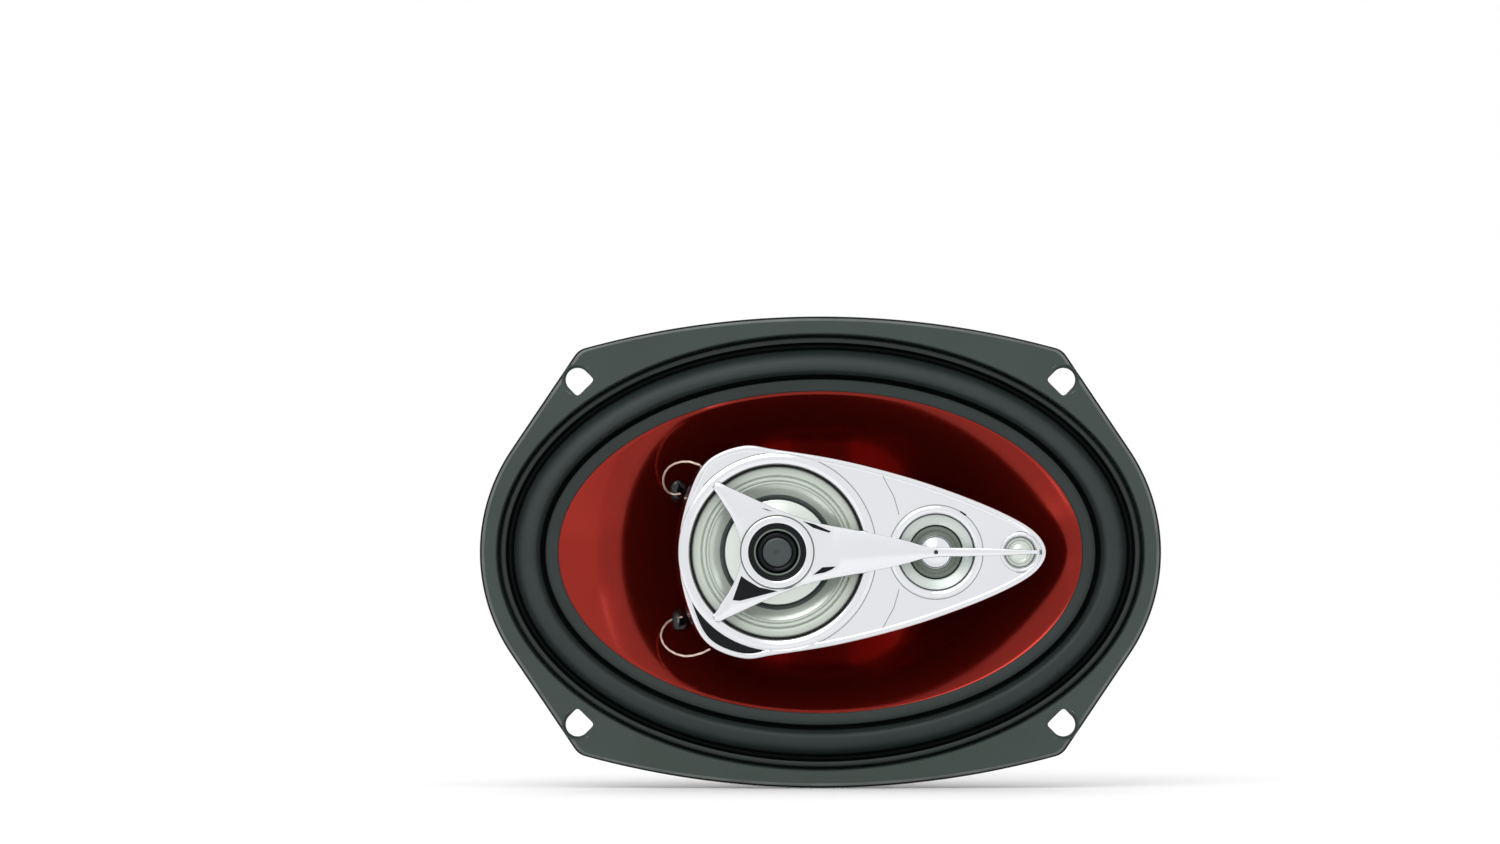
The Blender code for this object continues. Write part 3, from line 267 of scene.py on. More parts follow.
def turned(
    name, profile, material, nodes=(), body="frame", at=(0, 0), steps=128, soften=0.3, sharp=50
):
    """A piece turned about an axis parallel to the speaker's, from (radius, depth) points, corners softened."""
    closed = profile[0][0] > 1e-6
    points = rounded(profile, soften, 3, closed) if soften else profile
    rings = [ring(r, z, steps) + (*at, 0) for r, z in points]
    return piece(name, new_mesh(name, *skin(rings, closed), sharp), material, nodes, body)


def band(inner, outer, low, high):
    """A square-cornered profile."""
    return [(inner, low), (outer, low), (outer, high), (inner, high)]


# ---- materials


def set_inputs(node, **values):
    for name, value in values.items():
        node.inputs[name.replace("_", " ")].default_value = value


def add(tree, kind, **values):
    node = tree.nodes.new("ShaderNode" + kind)
    set_inputs(node, **values)
    return node


def connect(tree, links):
    for start, output, end, socket in links:
        tree.links.new(start.outputs[output], end.inputs[socket])


def finish(
    name, colour, roughness, metallic=0.0, mottle=0.12, patch=60.0, grain=900.0, bump=0.05, spread=0.08,
    specular=0.5, coat=0.0
):
    """A surface with patchy colour, uneven roughness and a fine grain: patch and grain are noise scales."""
    material = bpy.data.materials.new(name)
    material.use_nodes = True
    tree = material.node_tree
    shader = tree.nodes["Principled BSDF"]
    where = add(tree, "TexCoord")
    wide = add(tree, "TexNoise", Scale=patch, Detail=4)
    fine = add(tree, "TexNoise", Scale=grain, Detail=3)
    tone = add(tree, "ValToRGB")
    for stop, position, share in zip(tone.color_ramp.elements, (0.3, 0.7), (1 - mottle, 1 + mottle)):
        stop.position = position
        stop.color = (*(min(1.0, channel * share) for channel in colour), 1)
    rough = add(tree, "MapRange", To_Min=max(0.02, roughness - spread), To_Max=min(1.0, roughness + spread))
    relief = add(tree, "Bump", Strength=bump, Distance=0.0002)
    links = [(where, "Object", wide, "Vector"), (where, "Object", fine, "Vector"), (wide, "Fac", tone, "Fac")]
    links += [(tone, "Color", shader, "Base Color"), (fine, "Fac", rough, "Value")]
    links += [(rough, "Result", shader, "Roughness"), (fine, "Fac", relief, "Height")]
    links += [(relief, "Normal", shader, "Normal")]
    connect(tree, links)
    set_inputs(shader, Metallic=metallic, Coat_Weight=coat, Coat_Roughness=0.04, Specular_IOR_Level=specular)
    return material


STEEL = finish("painted_steel", (0.03, 0.045, 0.038), 0.42, 0.0, 0.07, 40, 1500, 0.12, 0.05, 0.35)
# Painted highlight: a lighter band along the bend just inside the flange's edge, standing for the light the bend
# catches.
BEND_HIGHLIGHT_PAINT = finish("painted_bend_highlight", (0.085, 0.1, 0.092), 0.34, 0.0, 0.25, 90, 1500, 0.12)
# Painted shade: near-black on the flange's outer lip, standing for the shade on its turned-away side.
LIP_SHADE_PAINT = finish("painted_lip_shade", (0.003, 0.004, 0.004), 0.5, 0.0, 0.2, 60, 1500, 0.1, 0.05, 0.1)
RUBBER = finish("surround_rubber", (0.012, 0.02, 0.0185), 0.5, 0.0, 0.1, 50, 2500, 0.15, 0.06, 0.38)
# Painted shade: near-black in the surround's grooves, darker than the rubber's own shading there.
GROOVE_SHADE_PAINT = finish("painted_groove_shade", (0.0025, 0.0035, 0.0035), 0.5, 0.0, 0.2, 80, 1500, 0.1, 0.05, 0.08)
RED = finish("red_cone", (0.285, 0.0145, 0.007), 0.15, 0.88, 0.05, 30, 600, 0.02, 0.02, coat=0.2)
BRIGHT = finish("bright_plating", (0.765, 0.775, 0.8), 0.13, 1.0, 0.01, 30, 700, 0.01, 0.03)
SILVER = finish("silver_paint", (0.6, 0.66, 0.62), 0.32, 0.35, 0.03, 80, 1500, 0.03, 0.05)
FILM = finish("pale_film", (0.66, 0.72, 0.65), 0.3, 0.5, 0.04, 60, 300, 0.004, 0.03)
CAP = finish("pale_cap", (0.74, 0.79, 0.74), 0.25, 0.55, 0.02, 60, 300, 0.004, 0.03)
EDGE = finish("pale_edge", (0.56, 0.62, 0.55), 0.4, 0.1, 0.04, 80, 1800, 0.04)
BLACK = finish("black_moulding", (0.012, 0.013, 0.014), 0.35, 0.0, 0.15, 90, 2200, 0.1)
GLOSS_BLACK = finish("black_gloss", (0.003, 0.004, 0.005), 0.2, 0.0, 0.1, 90, 1200, 0.03, 0.04, 0.16)
DOME = finish("dark_dome", (0.036, 0.046, 0.046), 0.35, 0.0, 0.06, 100, 1800, 0.05, 0.05, 0.4)
SMOKE = finish("smoky_ring", (0.13, 0.16, 0.135), 0.35, 0.2, 0.06, 100, 1800)
CLOTH = finish("spider_cloth", (0.42, 0.26, 0.09), 0.9, 0.0, 0.2, 200, 2600, 0.5)
FOIL = finish("coil_foil", (0.7, 0.7, 0.71), 0.3, 1.0, 0.05, 80, 1200)
COPPER = finish("copper", (0.85, 0.55, 0.42), 0.3, 1.0, 0.08, 200, 3500, 0.3)
ZINC = finish("zinc_plate", (0.55, 0.54, 0.5), 0.3, 1.0, 0.12, 70, 1400, 0.06, 0.1)
FERRITE = finish("ferrite", (0.03, 0.03, 0.033), 0.6, 0.0, 0.25, 70, 1600, 0.25, 0.1)
TINNED = finish("tinned_brass", (0.75, 0.72, 0.6), 0.25, 1.0, 0.08, 150, 1500)
WIRE = finish("tinsel_wire", (0.72, 0.6, 0.5), 0.42, 0.4, 0.12, 300, 4000, 0.3)
GLUE = finish("black_glue", (0.004, 0.004, 0.005), 0.12, 0.0, 0.1, 400, 900, 0.2, 0.05)

# ---- basket


def oval_radius(angle, a, b):
    return a * b / np.hypot(b * np.cos(angle), a * np.sin(angle))


def hole_centre():
    out = float(oval_radius(EAR_ANGLE, OPENING_A, OPENING_B)) + HOLE_OUTSIDE
    return Vector((out * math.cos(EAR_ANGLE), out * math.sin(EAR_ANGLE)))


def flange_radius(angles):
    """Distance from the axis to the flange's edge: end arc, slanted side, round ear corner and top arc."""
    ear = hole_centre() + Vector(EAR_CORNER)
    end_radius = OPENING_B**2 / OPENING_A + END_FLATTER
    end = Vector((HALF_LENGTH - end_radius, 0))
    apart = ear - end
    slant = math.atan2(apart.y, apart.x) - math.acos((end_radius - EAR_ROUND) / apart.length)
    drop = HALF_HEIGHT - ear.y
    top_radius = (ear.x**2 + drop**2 - EAR_ROUND**2) / (2 * (drop - EAR_ROUND))
    top = Vector((0, HALF_HEIGHT - top_radius))
    crown = math.atan2(ear.y - top.y, ear.x)
    arcs = ((end, end_radius, 0, slant), (ear, EAR_ROUND, slant, crown), (top, top_radius, crown, math.pi / 2))
    edge = []
    for centre, radius, start, stop in arcs:
        turns = np.linspace(start, stop, 60)
        edge.append(np.stack([centre.x + radius * np.cos(turns), centre.y + radius * np.sin(turns)], axis=1))
    edge = np.concatenate(edge)
    along = np.linspace(0, len(edge) - 1, 3000)
    edge = np.stack([np.interp(along, np.arange(len(edge)), edge[:, k]) for k in (0, 1)], axis=1)
    folded = np.abs((np.asarray(angles) + math.pi / 2) % math.pi - math.pi / 2)
    return np.interp(folded, np.arctan2(edge[:, 1], edge[:, 0]), np.hypot(edge[:, 0], edge[:, 1]))


def arm_swell(angles, share):
    """How far the stiffening rib down each arm's middle stands in towards the speaker's axis."""
    off_arm = np.abs((angles + math.pi / 6) % (math.pi / 3) - math.pi / 6) / ARM_HALF_ANGLE
    return 0.9 * np.clip(1 - (off_arm / 0.45) ** 2, 0, 1) * max(0, math.sin(math.pi * share)) ** 0.5


def at_opening(angles, wide):
    return oval_radius(angles, OPENING_A + wide, OPENING_B + wide)


def wall_radius(angles, share):
    """Distance from the axis to the basket's wall, from the rim at 0 to the shelf at 1."""
    a, b = OPENING_A - RIM_INSET, OPENING_B - RIM_INSET
    return oval_radius(angles, a + (SHELF_RADIUS - a) * share, b + (SHELF_RADIUS - b) * share)


def wall_rows(angles, count):
    rows = []
    for share in np.linspace(0, 1, count):
        depth = RIM_Z + (SHELF_Z - RIM_Z) * share
        rows.append((wall_radius(angles, share) - arm_swell(angles, share), depth))
    return rows


def basket_rows(angles):
    """(radii, depth) rows over the basket's front, with pressed-metal rounding at each bend."""
    edge = flange_radius(angles)
    flat = FLANGE_DEPTH
    rim = ((0, 0), (0, 0.5), (0.05, 1.2), (0.25, 1.8), (0.7, 2.3), (1.1, 2.5), (1.6, 2.5), (2.4, flat))
    rows = [(edge - inset, z) for inset, z in rim]
    step = ((1.2, flat), (0.45, 2.34), (0.1, 2.0), (0, SHEET), (-0.2, LEDGE_Z + 0.8), (-0.9, LEDGE_Z))
    step += ((0.8 - LEDGE_WIDTH, LEDGE_Z), (-LEDGE_WIDTH, LEDGE_Z - 0.8))
    rows += [(at_opening(angles, wide), z) for wide, z in step] + wall_rows(angles, 18)
    inner = SHELF_RADIUS - SHELF_WIDTH
    cup = ((SHELF_RADIUS - 1.2, SHELF_Z), (inner, SHELF_Z), (inner - 0.5, SHELF_Z - 0.8))
    cup += ((CUP_RADIUS + 0.2, CUP_Z + 1), (CUP_RADIUS - 0.6, CUP_Z), (CUP_HOLE, CUP_Z))
    return rows + [(np.full(len(angles), radius), z) for radius, z in cup]


def basket_back(angles):
    """Rows over the basket's back: its bends, without the front's rounding, moved back by the sheet."""
    front = [(flange_radius(angles), 0.0), (flange_radius(angles), FLANGE_DEPTH)]
    step = ((0, FLANGE_DEPTH), (-0.2, LEDGE_Z), (-LEDGE_WIDTH, LEDGE_Z))
    front += [(at_opening(angles, wide), z) for wide, z in step] + wall_rows(angles, 12)
    cup = ((SHELF_RADIUS - SHELF_WIDTH, SHELF_Z), (CUP_RADIUS, CUP_Z), (CUP_HOLE, CUP_Z))
    front += [(np.full(len(angles), radius), z) for radius, z in cup]
    radii = np.array([r for r, _ in front])
    depths = np.array([np.full(len(angles), z) for _, z in front])
    along = np.stack([np.diff(radii, axis=0), np.diff(depths, axis=0)])
    along /= np.linalg.norm(along, axis=0)
    normals = np.stack([-along[1], along[0]])
    before = np.concatenate([normals[:, :1], normals], axis=1)
    after = np.concatenate([normals, normals[:, -1:]], axis=1)
    miter = before + after
    miter /= np.maximum(0.7, (miter * before).sum(axis=0))
    return list(zip(radii + miter[0] * SHEET, depths + miter[1] * SHEET))


def set_bands(data, bands, steps):
    """Gives each ring of faces its material."""
    data.polygons.foreach_set("material_index", np.repeat(bands, steps).astype(np.int32))


def basket_data():
    angles = np.arange(BASKET_STEPS) * TAU / BASKET_STEPS
    rows = basket_rows(angles) + basket_back(angles)[::-1]
    round_axis = np.cos(angles), np.sin(angles)
    rings = [np.stack([r * round_axis[0], r * round_axis[1], 0 * angles + z], axis=1) for r, z in rows]
    data = new_mesh("basket_shell", *skin(rings), 35)
    set_bands(data, [EDGE_BANDS.get(row, 0) for row in range(len(rows))], BASKET_STEPS)
    return data


def wall_point(share, turn):
    out = wall_radius(turn, share)
    return out * math.cos(turn), out * math.sin(turn)


def window_outline(middle):
    """A window between two arms: a four-sided opening with round corners."""
    down, across = 45.0, 70.0
    half = WINDOW_HALF_ANGLE * across
    low, high = 0.03 * down, 0.93 * down
    corners = rounded([(low, -half), (high, -half), (high, half), (low, half)], 5.0, 8)
    points = []
    for k, point in enumerate(corners):
        nxt = corners[(k + 1) % len(corners)]
        for step in np.linspace(0, 1, 12, endpoint=False):
            u, v = (1 - step) * point[0] + step * nxt[0], (1 - step) * point[1] + step * nxt[1]
            points.append(wall_point(u / down, middle + v / across))
    return points


def filled(name, rings, sharp=50):
    """Skins rings and fills the first and the last, whatever their outline's shape."""
    vertices, faces = skin(rings, False)
    count = len(rings[0])
    faces += [tuple(range(count)), tuple(range(len(vertices) - count, len(vertices)))]
    return new_mesh(name, vertices, faces, sharp)


def cutter(name, outline, low, high, at=(0, 0), turn=0.02):
    """A prism over an outline, turned about its own axis, that cuts a piece and isn't shown."""
    spin = np.array([[math.cos(turn), -math.sin(turn)], [math.sin(turn), math.cos(turn)]])
    return link(name, filled(name, flat_rings(np.asarray(outline) @ spin.T + at, (low, high))))


def cut(obj, tools, sharp, folded=False):
    """Cuts tools out of a piece and removes them. folded is for a piece whose own skin crosses itself."""
    for tool in tools:
        modifier = obj.modifiers.new(tool.name, "BOOLEAN")
        modifier.object = tool
        modifier.solver = "EXACT"
        modifier.use_self = folded
    bpy.context.view_layer.update()
    graph = bpy.context.evaluated_depsgraph_get()
    data = bpy.data.meshes.new_from_object(obj.evaluated_get(graph))
    obj.modifiers.clear()
    obj.data = data
    for tool in tools:
        bpy.data.objects.remove(tool)
    smooth(data, sharp)


def keyed_outline():
    """A hole with two square corners towards the speaker's axis and a round end outwards."""
    half = HOLE_SIZE / 2
    arc = [(half * math.cos(t), half * math.sin(t)) for t in np.linspace(-math.pi / 2, math.pi / 2, 25)]
    corner = 1.1
    inner = []
    flat = half - corner
    for sign, start in ((1, math.pi / 2), (-1, math.pi)):
        for t in np.linspace(start, start + math.pi / 2, 6):
            inner.append((corner * math.cos(t) - flat, corner * math.sin(t) + sign * flat))
    return arc + inner


def circle_outline(radius, steps=64):
    return ellipse(radius, radius, 0, steps)[:, :2]


def make_basket():
    obj = piece("basket_shell", basket_data(), STEEL, ["basket"])
    # The lip's painted shade and the bend's painted highlight, given to rows of faces by EDGE_BANDS.
    obj.data.materials.append(LIP_SHADE_PAINT)
    obj.data.materials.append(BEND_HIGHLIGHT_PAINT)
    cuts = [cutter("window", window_outline(math.radians(30 + 60 * k)), -62, -8) for k in range(6)]
    cuts += [cutter("ear_seat", circle_outline(CUP_OUTSIDE), -1, 6, at) for at in ear_places()]
    hole = circle_outline(RIVET_BORE, 32)
    cuts += [cutter("rivet_hole", hole, CUP_Z - 4, CUP_Z + 2, at) for at in rivet_places()]
    cut(obj, cuts, 35)
    for number, at in enumerate(ear_places(), 1):
        make_ear_cup(number, at)


def ear_places():
    hole = hole_centre()
    return [(sx * hole.x, sy * hole.y) for sx in (-1, 1) for sy in (-1, 1)]


def make_ear_cup(number, at):
    """The pressed dimple round an ear's keyed hole."""
    outside, inside = CUP_OUTSIDE - 0.02, DIMPLE_RADIUS
    profile = [(2.0, 0.05), (outside, 0.05), (outside, 2.46), (inside + 0.05, 2.42), (inside - 0.15, 2.2)]
    profile += [(inside - 0.35, 1.5), (inside - 0.7, SHEET), (2.0, SHEET)]
    obj = turned(f"ear_dimple_{number}", profile, STEEL, at=at, steps=96, soften=0)
    turn = math.atan2(at[1], at[0]) + math.radians(10) * math.copysign(1, at[0] * at[1])
    cut(obj, [cutter("hole", keyed_outline(), -4, 6, at, turn)], 40)


def rivet_places():
    turns = np.radians((45, 135, 225, 315))
    return [(RIVET_CIRCLE * math.cos(turn), RIVET_CIRCLE * math.sin(turn)) for turn in turns]


def make_rivets():
    head, end = CUP_Z + 0.3, PLATE_Z - 3
    profile = [(0, head + 1.0), (0.9, head + 0.95), (1.9, head + 0.65), (2.7, head + 0.25), (3.0, head)]
    profile += [(1.8, head), (1.8, end), (0, end)]
    for number, at in enumerate(rivet_places(), 1):
        turned(f"rivet_{number}", profile, ZINC, [f"basket_rivet_{number}"], at=at, steps=40, soften=0.1)


# ---- cone and its suspension


def oval_ring(inset, z):
    return ellipse(OPENING_A - inset, OPENING_B - inset * ACROSS, z, OVAL_STEPS)


def surround_profile():
    """(inset, depth, share of the cone's travel) over the rubber's front, from its outer bead to the cone."""
    points = [(1.0, -1.9, 0), (1.2, -1.5, 0), (1.6, -1.35, 0), (2.4, -1.35, 0), (3.0, -1.5, 0), (3.3, -2.1, 0)]
    points += [(3.5, -3.3, 0), (3.8, -3.85, 0), (4.3, -4.05, 0), (4.9, -3.85, 0)]
    start, foot = 5.2, 15.2
    for share in np.linspace(0, 1, 30):
        base = -3.5 + 1.7 * share
        across = abs(2 * share**1.25 - 1)
        points.append((start + (foot - start) * share, base + 6.9 * (1 - across**2.8) ** 0.6, share))
    points += [(15.5, -2.1, 1), (15.9, -1.95, 1), (16.3, -1.3, 1), (16.8, -0.95, 1), (18.5, -1.0, 1)]
    points += [(20.6, -1.2, 1), (21.0, -1.3, 1), (21.2, -1.6, 1)]
    return points


def make_surround():
    front = surround_profile()
    back = front[:9:-1]
    rings = [oval_ring(inset, z) for inset, z, _ in front]
    rings += [oval_ring(inset, z - RUBBER_THICK) for inset, z, _ in back]
    rings += [oval_ring(4.4, LEDGE_Z + 0.1), oval_ring(1.0, LEDGE_Z + 0.1)]
    obj = piece("rubber_surround", new_mesh("rubber_surround", *skin(rings)), RUBBER, ["surround"], None)
    # Rows 4 to 11 and 38 to 42, the outer and the inner groove, take the grooves' painted shade.
    obj.data.materials.append(GROOVE_SHADE_PAINT)
    set_bands(obj.data, [int(4 <= row <= 11 or 38 <= row <= 42) for row in range(len(rings))], OVAL_STEPS)
    bend_with(obj)


def cone_shape(share):
    """The cone's half-length, half-height and depth, from its neck at 0 to its edge at 1."""
    a = NECK + (OPENING_A - CONE_INSET - NECK) * share
    b = NECK + (OPENING_B - CONE_INSET * ACROSS - NECK) * share
    return a, b, NECK_Z + (CONE_EDGE_Z - NECK_Z) * ((1 + CONE_BOW) * share - CONE_BOW * share**2)


def make_cone():
    front = [oval_ring(16.6, CONE_EDGE_Z + 0.4), oval_ring(20.6, CONE_EDGE_Z + 0.15)]
    front += [ellipse(*cone_shape(share), OVAL_STEPS) for share in np.linspace(1, 0, 40)]
    neck = front[-1]
    outside = neck * (1.05, 1.05, 1)
    back = [outside - (0, 0, 2.4), outside - (0, 0, 0.9)]
    back += [points - (0, 0, PAPER_THICK) for points in reversed(front[:-1])]
    rings = front + [neck - (0, 0, PAPER_THICK), neck - (0, 0, 2.4)] + back
    piece("red_woofer_cone", new_mesh("red_woofer_cone", *skin(rings)), RED, ["cone"], "cone")


def make_spider():
    steps, waves = 160, 5
    rest = SHELF_Z + 0.9
    inner, waved, outer = 13.15, 42.5, 49.0
    front = [(inner, rest + 1.4), (inner + 0.25, rest + 0.7), (inner + 1.0, rest + 0.2)]
    for share in np.linspace(0.03, 1, 70):
        height = 1.25 * math.sin(share * waves * TAU) * min(1, 8 * (1 - share))
        front.append((inner + 1 + (waved - inner - 1) * share, rest + height))
    front += [(outer - 0.3, rest), (outer, rest - 0.15)]
    profile = front + [(r, z - CLOTH_THICK) for r, z in reversed(front)]
    rings = [ring(r, z, steps) for r, z in profile]
    obj = piece("cloth_spider", new_mesh("cloth_spider", *skin(rings)), CLOTH, ["spider"], None)
    bend_with(obj)


def make_coil():
    low = PLATE_Z - 9
    turned("voice_coil_former", band(12.4, 12.8, low - 2, -42.2), FOIL, ["coil_former"], "cone", soften=0.05)
    wire = [(12.9, low)]
    for k in range(26):
        foot = low + 0.5 * k
        wire += [(13.6, foot + 0.1), (13.6, foot + 0.4), (13.5, foot + 0.5)]
    wire += [(12.9, low + 13)]
    turned("voice_coil_wire", wire, COPPER, ["coil_winding"], "cone", soften=0.04)


# ---- motor


def make_motor():
    top = PLATE_Z
    profile = band(14.3, 42, top - TOP_PLATE_THICK, top)
    plate = turned("motor_top_plate", profile, ZINC, ["top_plate"], soften=0.6)
    bore = circle_outline(RIVET_BORE, 32)
    cut(plate, [cutter("bore", bore, top - 4, top + 1, at) for at in rivet_places()], 40)
    high = top - TOP_PLATE_THICK - GLUE_LINE
    low = high - MAGNET_THICK
    magnet = [(22, low), (43.6, low), (45, low + 1.4), (45, high - 1.4), (43.6, high), (22, high)]
    turned("ring_magnet", magnet, FERRITE, ["magnet"], soften=0.5)
    face = low - GLUE_LINE
    yoke = [(11.7, top + 0.6), (11.7, face), (43, face), (43, BACK_Z + 1.2), (41.8, BACK_Z), (30, BACK_Z)]
    yoke += [(29.6, BACK_Z + 0.35), (29.0, BACK_Z + 0.35), (28.6, BACK_Z), (6.9, BACK_Z), (6.5, BACK_Z + 0.4)]
    yoke += [(6.5, BACK_Z + 3.6), (2.5, BACK_Z + 3.6), (2.5, top + 0.6)]
    turned("motor_yoke", yoke, ZINC, ["t_yoke"], sharp=35)
    head = BACK_Z + 3.3
    bolt = [(0, top + 14.5), (2.0, top + 14.5), (2.2, top + 14.1), (2.2, head), (4.4, head), (4.4, head - 2.2)]
    bolt += [(4.0, head - 2.6), (0, head - 2.6)]
    obj = turned("pod_bolt_head", bolt, ZINC, ["pod_bolt"], steps=48, soften=0.1, sharp=35)
    cut(obj, [cutter("key", circle_outline(1.75, 6), head - 4, head - 1.2)], 35)


# ---- pod


def catmull(before, start, stop, after, share):
    """Centripetal Catmull-Rom point between start and stop."""
    t1 = (start - before).length ** 0.5
    t2 = t1 + (stop - start).length ** 0.5
    t3 = t2 + (after - stop).length ** 0.5
    t = t1 + (t2 - t1) * share
    first = before.lerp(start, t / t1)
    second = start.lerp(stop, (t - t1) / (t2 - t1))
    third = stop.lerp(after, (t - t2) / (t3 - t2))
    left = first.lerp(second, t / t2)
    right = second.lerp(third, (t - t1) / (t3 - t1))
    return left.lerp(right, (t - t1) / (t2 - t1))


def smooth_outline(knees, steps=10, short=4):
    """A closed curve through knees of (x, y, corner): a corner's curve stops there, and a short span is straight."""
    points = []
    count = len(knees)
    for k in range(count):
        before, start, stop, after = (knees[(k + d) % count] for d in (-1, 0, 1, 2))
        here, there = Vector(start[:2]), Vector(stop[:2])
        before = here * 2 - there if start[2] else Vector(before[:2])
        after = there * 2 - here if stop[2] else Vector(after[:2])
        parts = steps if (there - here).length > short else 1
        points += [tuple(catmull(before, here, there, after, step / parts)) for step in range(parts)]
    return np.array(points)


def pod_outline():
    """(points, outward directions) round the teardrop, as a smooth curve through its knees."""
    upper = [(0.03, 0.55), (0.08, 0.86), (0.178, 1), (0.263, 0.965), (0.44, 0.866), (0.67, 0.655)]
    upper += [(0.88, 0.375), (0.965, 0.205), (0.993, 0.09)]
    above = [(POD_LEFT + (POD_TIP - POD_LEFT) * x, POD_HALF * y, 0) for x, y in upper]
    below = [(x, -y, 0) for x, y, _ in reversed(above)]
    points = smooth_outline([(POD_LEFT, 0, 0), *above, (POD_TIP, 0, 0), *below], 16, 0)
    along = np.roll(points, -1, axis=0) - np.roll(points, 1, axis=0)
    along /= np.linalg.norm(along, axis=1)[:, None]
    return points, np.stack([-along[:, 1], along[:, 0]], axis=1)


def pod_ring(inset, z, narrow=1.0, flare=0.0):
    """The pod's outline moved inwards by an inset and drawn in by a factor. A flare widens its blunt end."""
    points, out = pod_outline()
    wide = flare * np.clip(-out[:, 0], 0, 1) ** 3
    moved = points - out * (inset - wide)[:, None]
    x = POD_MIDDLE + (moved[:, 0] - POD_MIDDLE) * narrow
    return np.stack([x, moved[:, 1] * narrow, np.full(len(x), z)], axis=1)


def capped(rings):
    """Rings from one flat face to another, each closed by a fan to its middle."""
    first, last = np.asarray(rings[0]), np.asarray(rings[-1])
    return skin([[first.mean(axis=0)], *rings, [last.mean(axis=0)]], False)


def pod_cover_data():
    front, face = POD_FRONT, PLATE_FACE
    rows = [(1.7, front - 2.1), (1.7, POD_FOOT), (0, POD_FOOT), (0, 6.0), (0, 11.0), (0, front - 0.9)]
    rows += [(0.08, front - 0.5), (0.3, front - 0.2), (0.65, front - 0.04), (0.95, front), (1.3, front - 0.05)]
    rows += [(1.6, front - 0.3), (1.85, face + 0.05), (2.2, face), (2.5, face), (3.2, face)]
    rings = []
    for inset, z in rows:
        flare = POD_FLARE * (1 - (z - POD_FOOT) / (front - POD_FOOT)) ** 1.3
        rings.append(pod_ring(inset, z, 1, flare))
    return new_mesh("pod_front", *capped(rings), 40)


def make_pod_cover():
    obj = piece("pod_front", pod_cover_data(), BRIGHT, ["pod_cover"])
    cuts = [cutter("opening", circle_outline(r + wide - 0.1, 160), 12, 20, (x, 0)) for x, r, wide in BEZELS]
    cut(obj, cuts, 30)
    for number, (x, radius, wide) in enumerate(BEZELS, 1):
        make_bezel(number, x, radius, wide)
    make_plate_lines()


def creases():
    """Thin lines across the plate between the midrange and the side tweeter."""
    lines = []
    for side in (1, -1):
        knees = [(x, y * side) for x, y in ((20.9, 27.0), (25.2, 19.0), (27.0, 12.8))]
        lines += list(zip(knees, knees[1:]))
    return lines


def arc_outline(x, radius, width, reach):
    """A thin band along a circle about a driver's centre, to an angle on both sides of the pod's tip."""
    turns = np.linspace(-reach, reach, 150)
    sides = ((radius + width / 2, turns), (radius - width / 2, turns[::-1]))
    return [(x + r * math.cos(t), r * math.sin(t)) for r, side in sides for t in side]


def make_plate_lines():
    """Dark gaps inlaid in the plate: its creases, the joints round the bezels and two small notches."""
    lines = [(line_outline(start, stop, LINE), SMOKE) for start, stop in creases()]
    for (x, radius, wide), reach in zip(BEZELS, JOINT_REACH):
        lines.append((arc_outline(x, radius + wide + LINE / 2, LINE, math.radians(reach)), SMOKE))
    lines += [(line_outline(*ends), GLOSS_BLACK) for ends in NOTCHES]
    for number, (outline, material) in enumerate(lines, 1):
        rings = flat_rings(outline, (PLATE_FACE - 0.3, PLATE_FACE + 0.03))
        piece(f"plate_line_{number}", filled("plate_line", rings), material)


def line_outline(start, stop, width):
    start, stop = Vector(start), Vector(stop)
    along = (stop - start).normalized()
    across = Vector((-along.y, along.x)) * width / 2
    return [tuple(point) for point in (start - across, stop - across, stop + across, start + across)]


def make_bezel(number, x, radius, wide):
    """A raised ring round a driver's opening, rolled down into it."""
    outer, foot = radius + wide, -1.2
    profile = [(outer - 0.4, foot), (outer - 0.4, -0.25), (outer - 0.25, -0.02), (outer - 0.1, 0.08)]
    profile += [(outer - wide * 0.3, 0.42), (outer - wide * 0.6, 0.45), (radius + 0.35, 0.2)]
    profile += [(radius + 0.05, -0.25), (radius, foot)]
    profile = [(r, PLATE_FACE + z) for r, z in profile]
    turned(f"bezel_{number}", profile, BRIGHT, at=(x, 0), steps=192, soften=0.12)


def make_tray():
    rim = POD_FOOT - 0.3
    rings = [pod_ring(1.6, TRAY_FLOOR + 1.6, TRAY_NARROW), pod_ring(1.6, rim), pod_ring(0, rim, 1, POD_FLARE)]
    for share in np.linspace(0.1, 0.9, 8):
        bulge = 0.6 * math.sin(math.pi * share)
        narrow = 1 - (1 - TRAY_NARROW) * share
        rings.append(pod_ring(-bulge, rim + (TRAY_FLOOR - rim) * share, narrow, POD_FLARE * (1 - share)))
    rings += [pod_ring(0.1, TRAY_FLOOR + 0.35, 0.803), pod_ring(0.6, TRAY_FLOOR, TRAY_NARROW)]
    obj = piece("pod_shell", new_mesh("pod_shell", *capped(rings), 40), BLACK, ["pod_tray"])
    bore = circle_outline(SCREW_BORE, 24)
    places = [*pillar_places(), *POST_SCREWS]
    cut(obj, [cutter("bore", bore, TRAY_FLOOR - 2, TRAY_FLOOR + 4, at) for at in places], 35)


def pillar_places():
    between = (SIDE_X + SIDE_OPENING + SUPER_X - SUPER_OPENING) / 2
    beside = MID_X + MID_OPENING + PILLAR_OUT
    return [(beside, PILLAR_ACROSS), (beside, -PILLAR_ACROSS), (between, 0)]


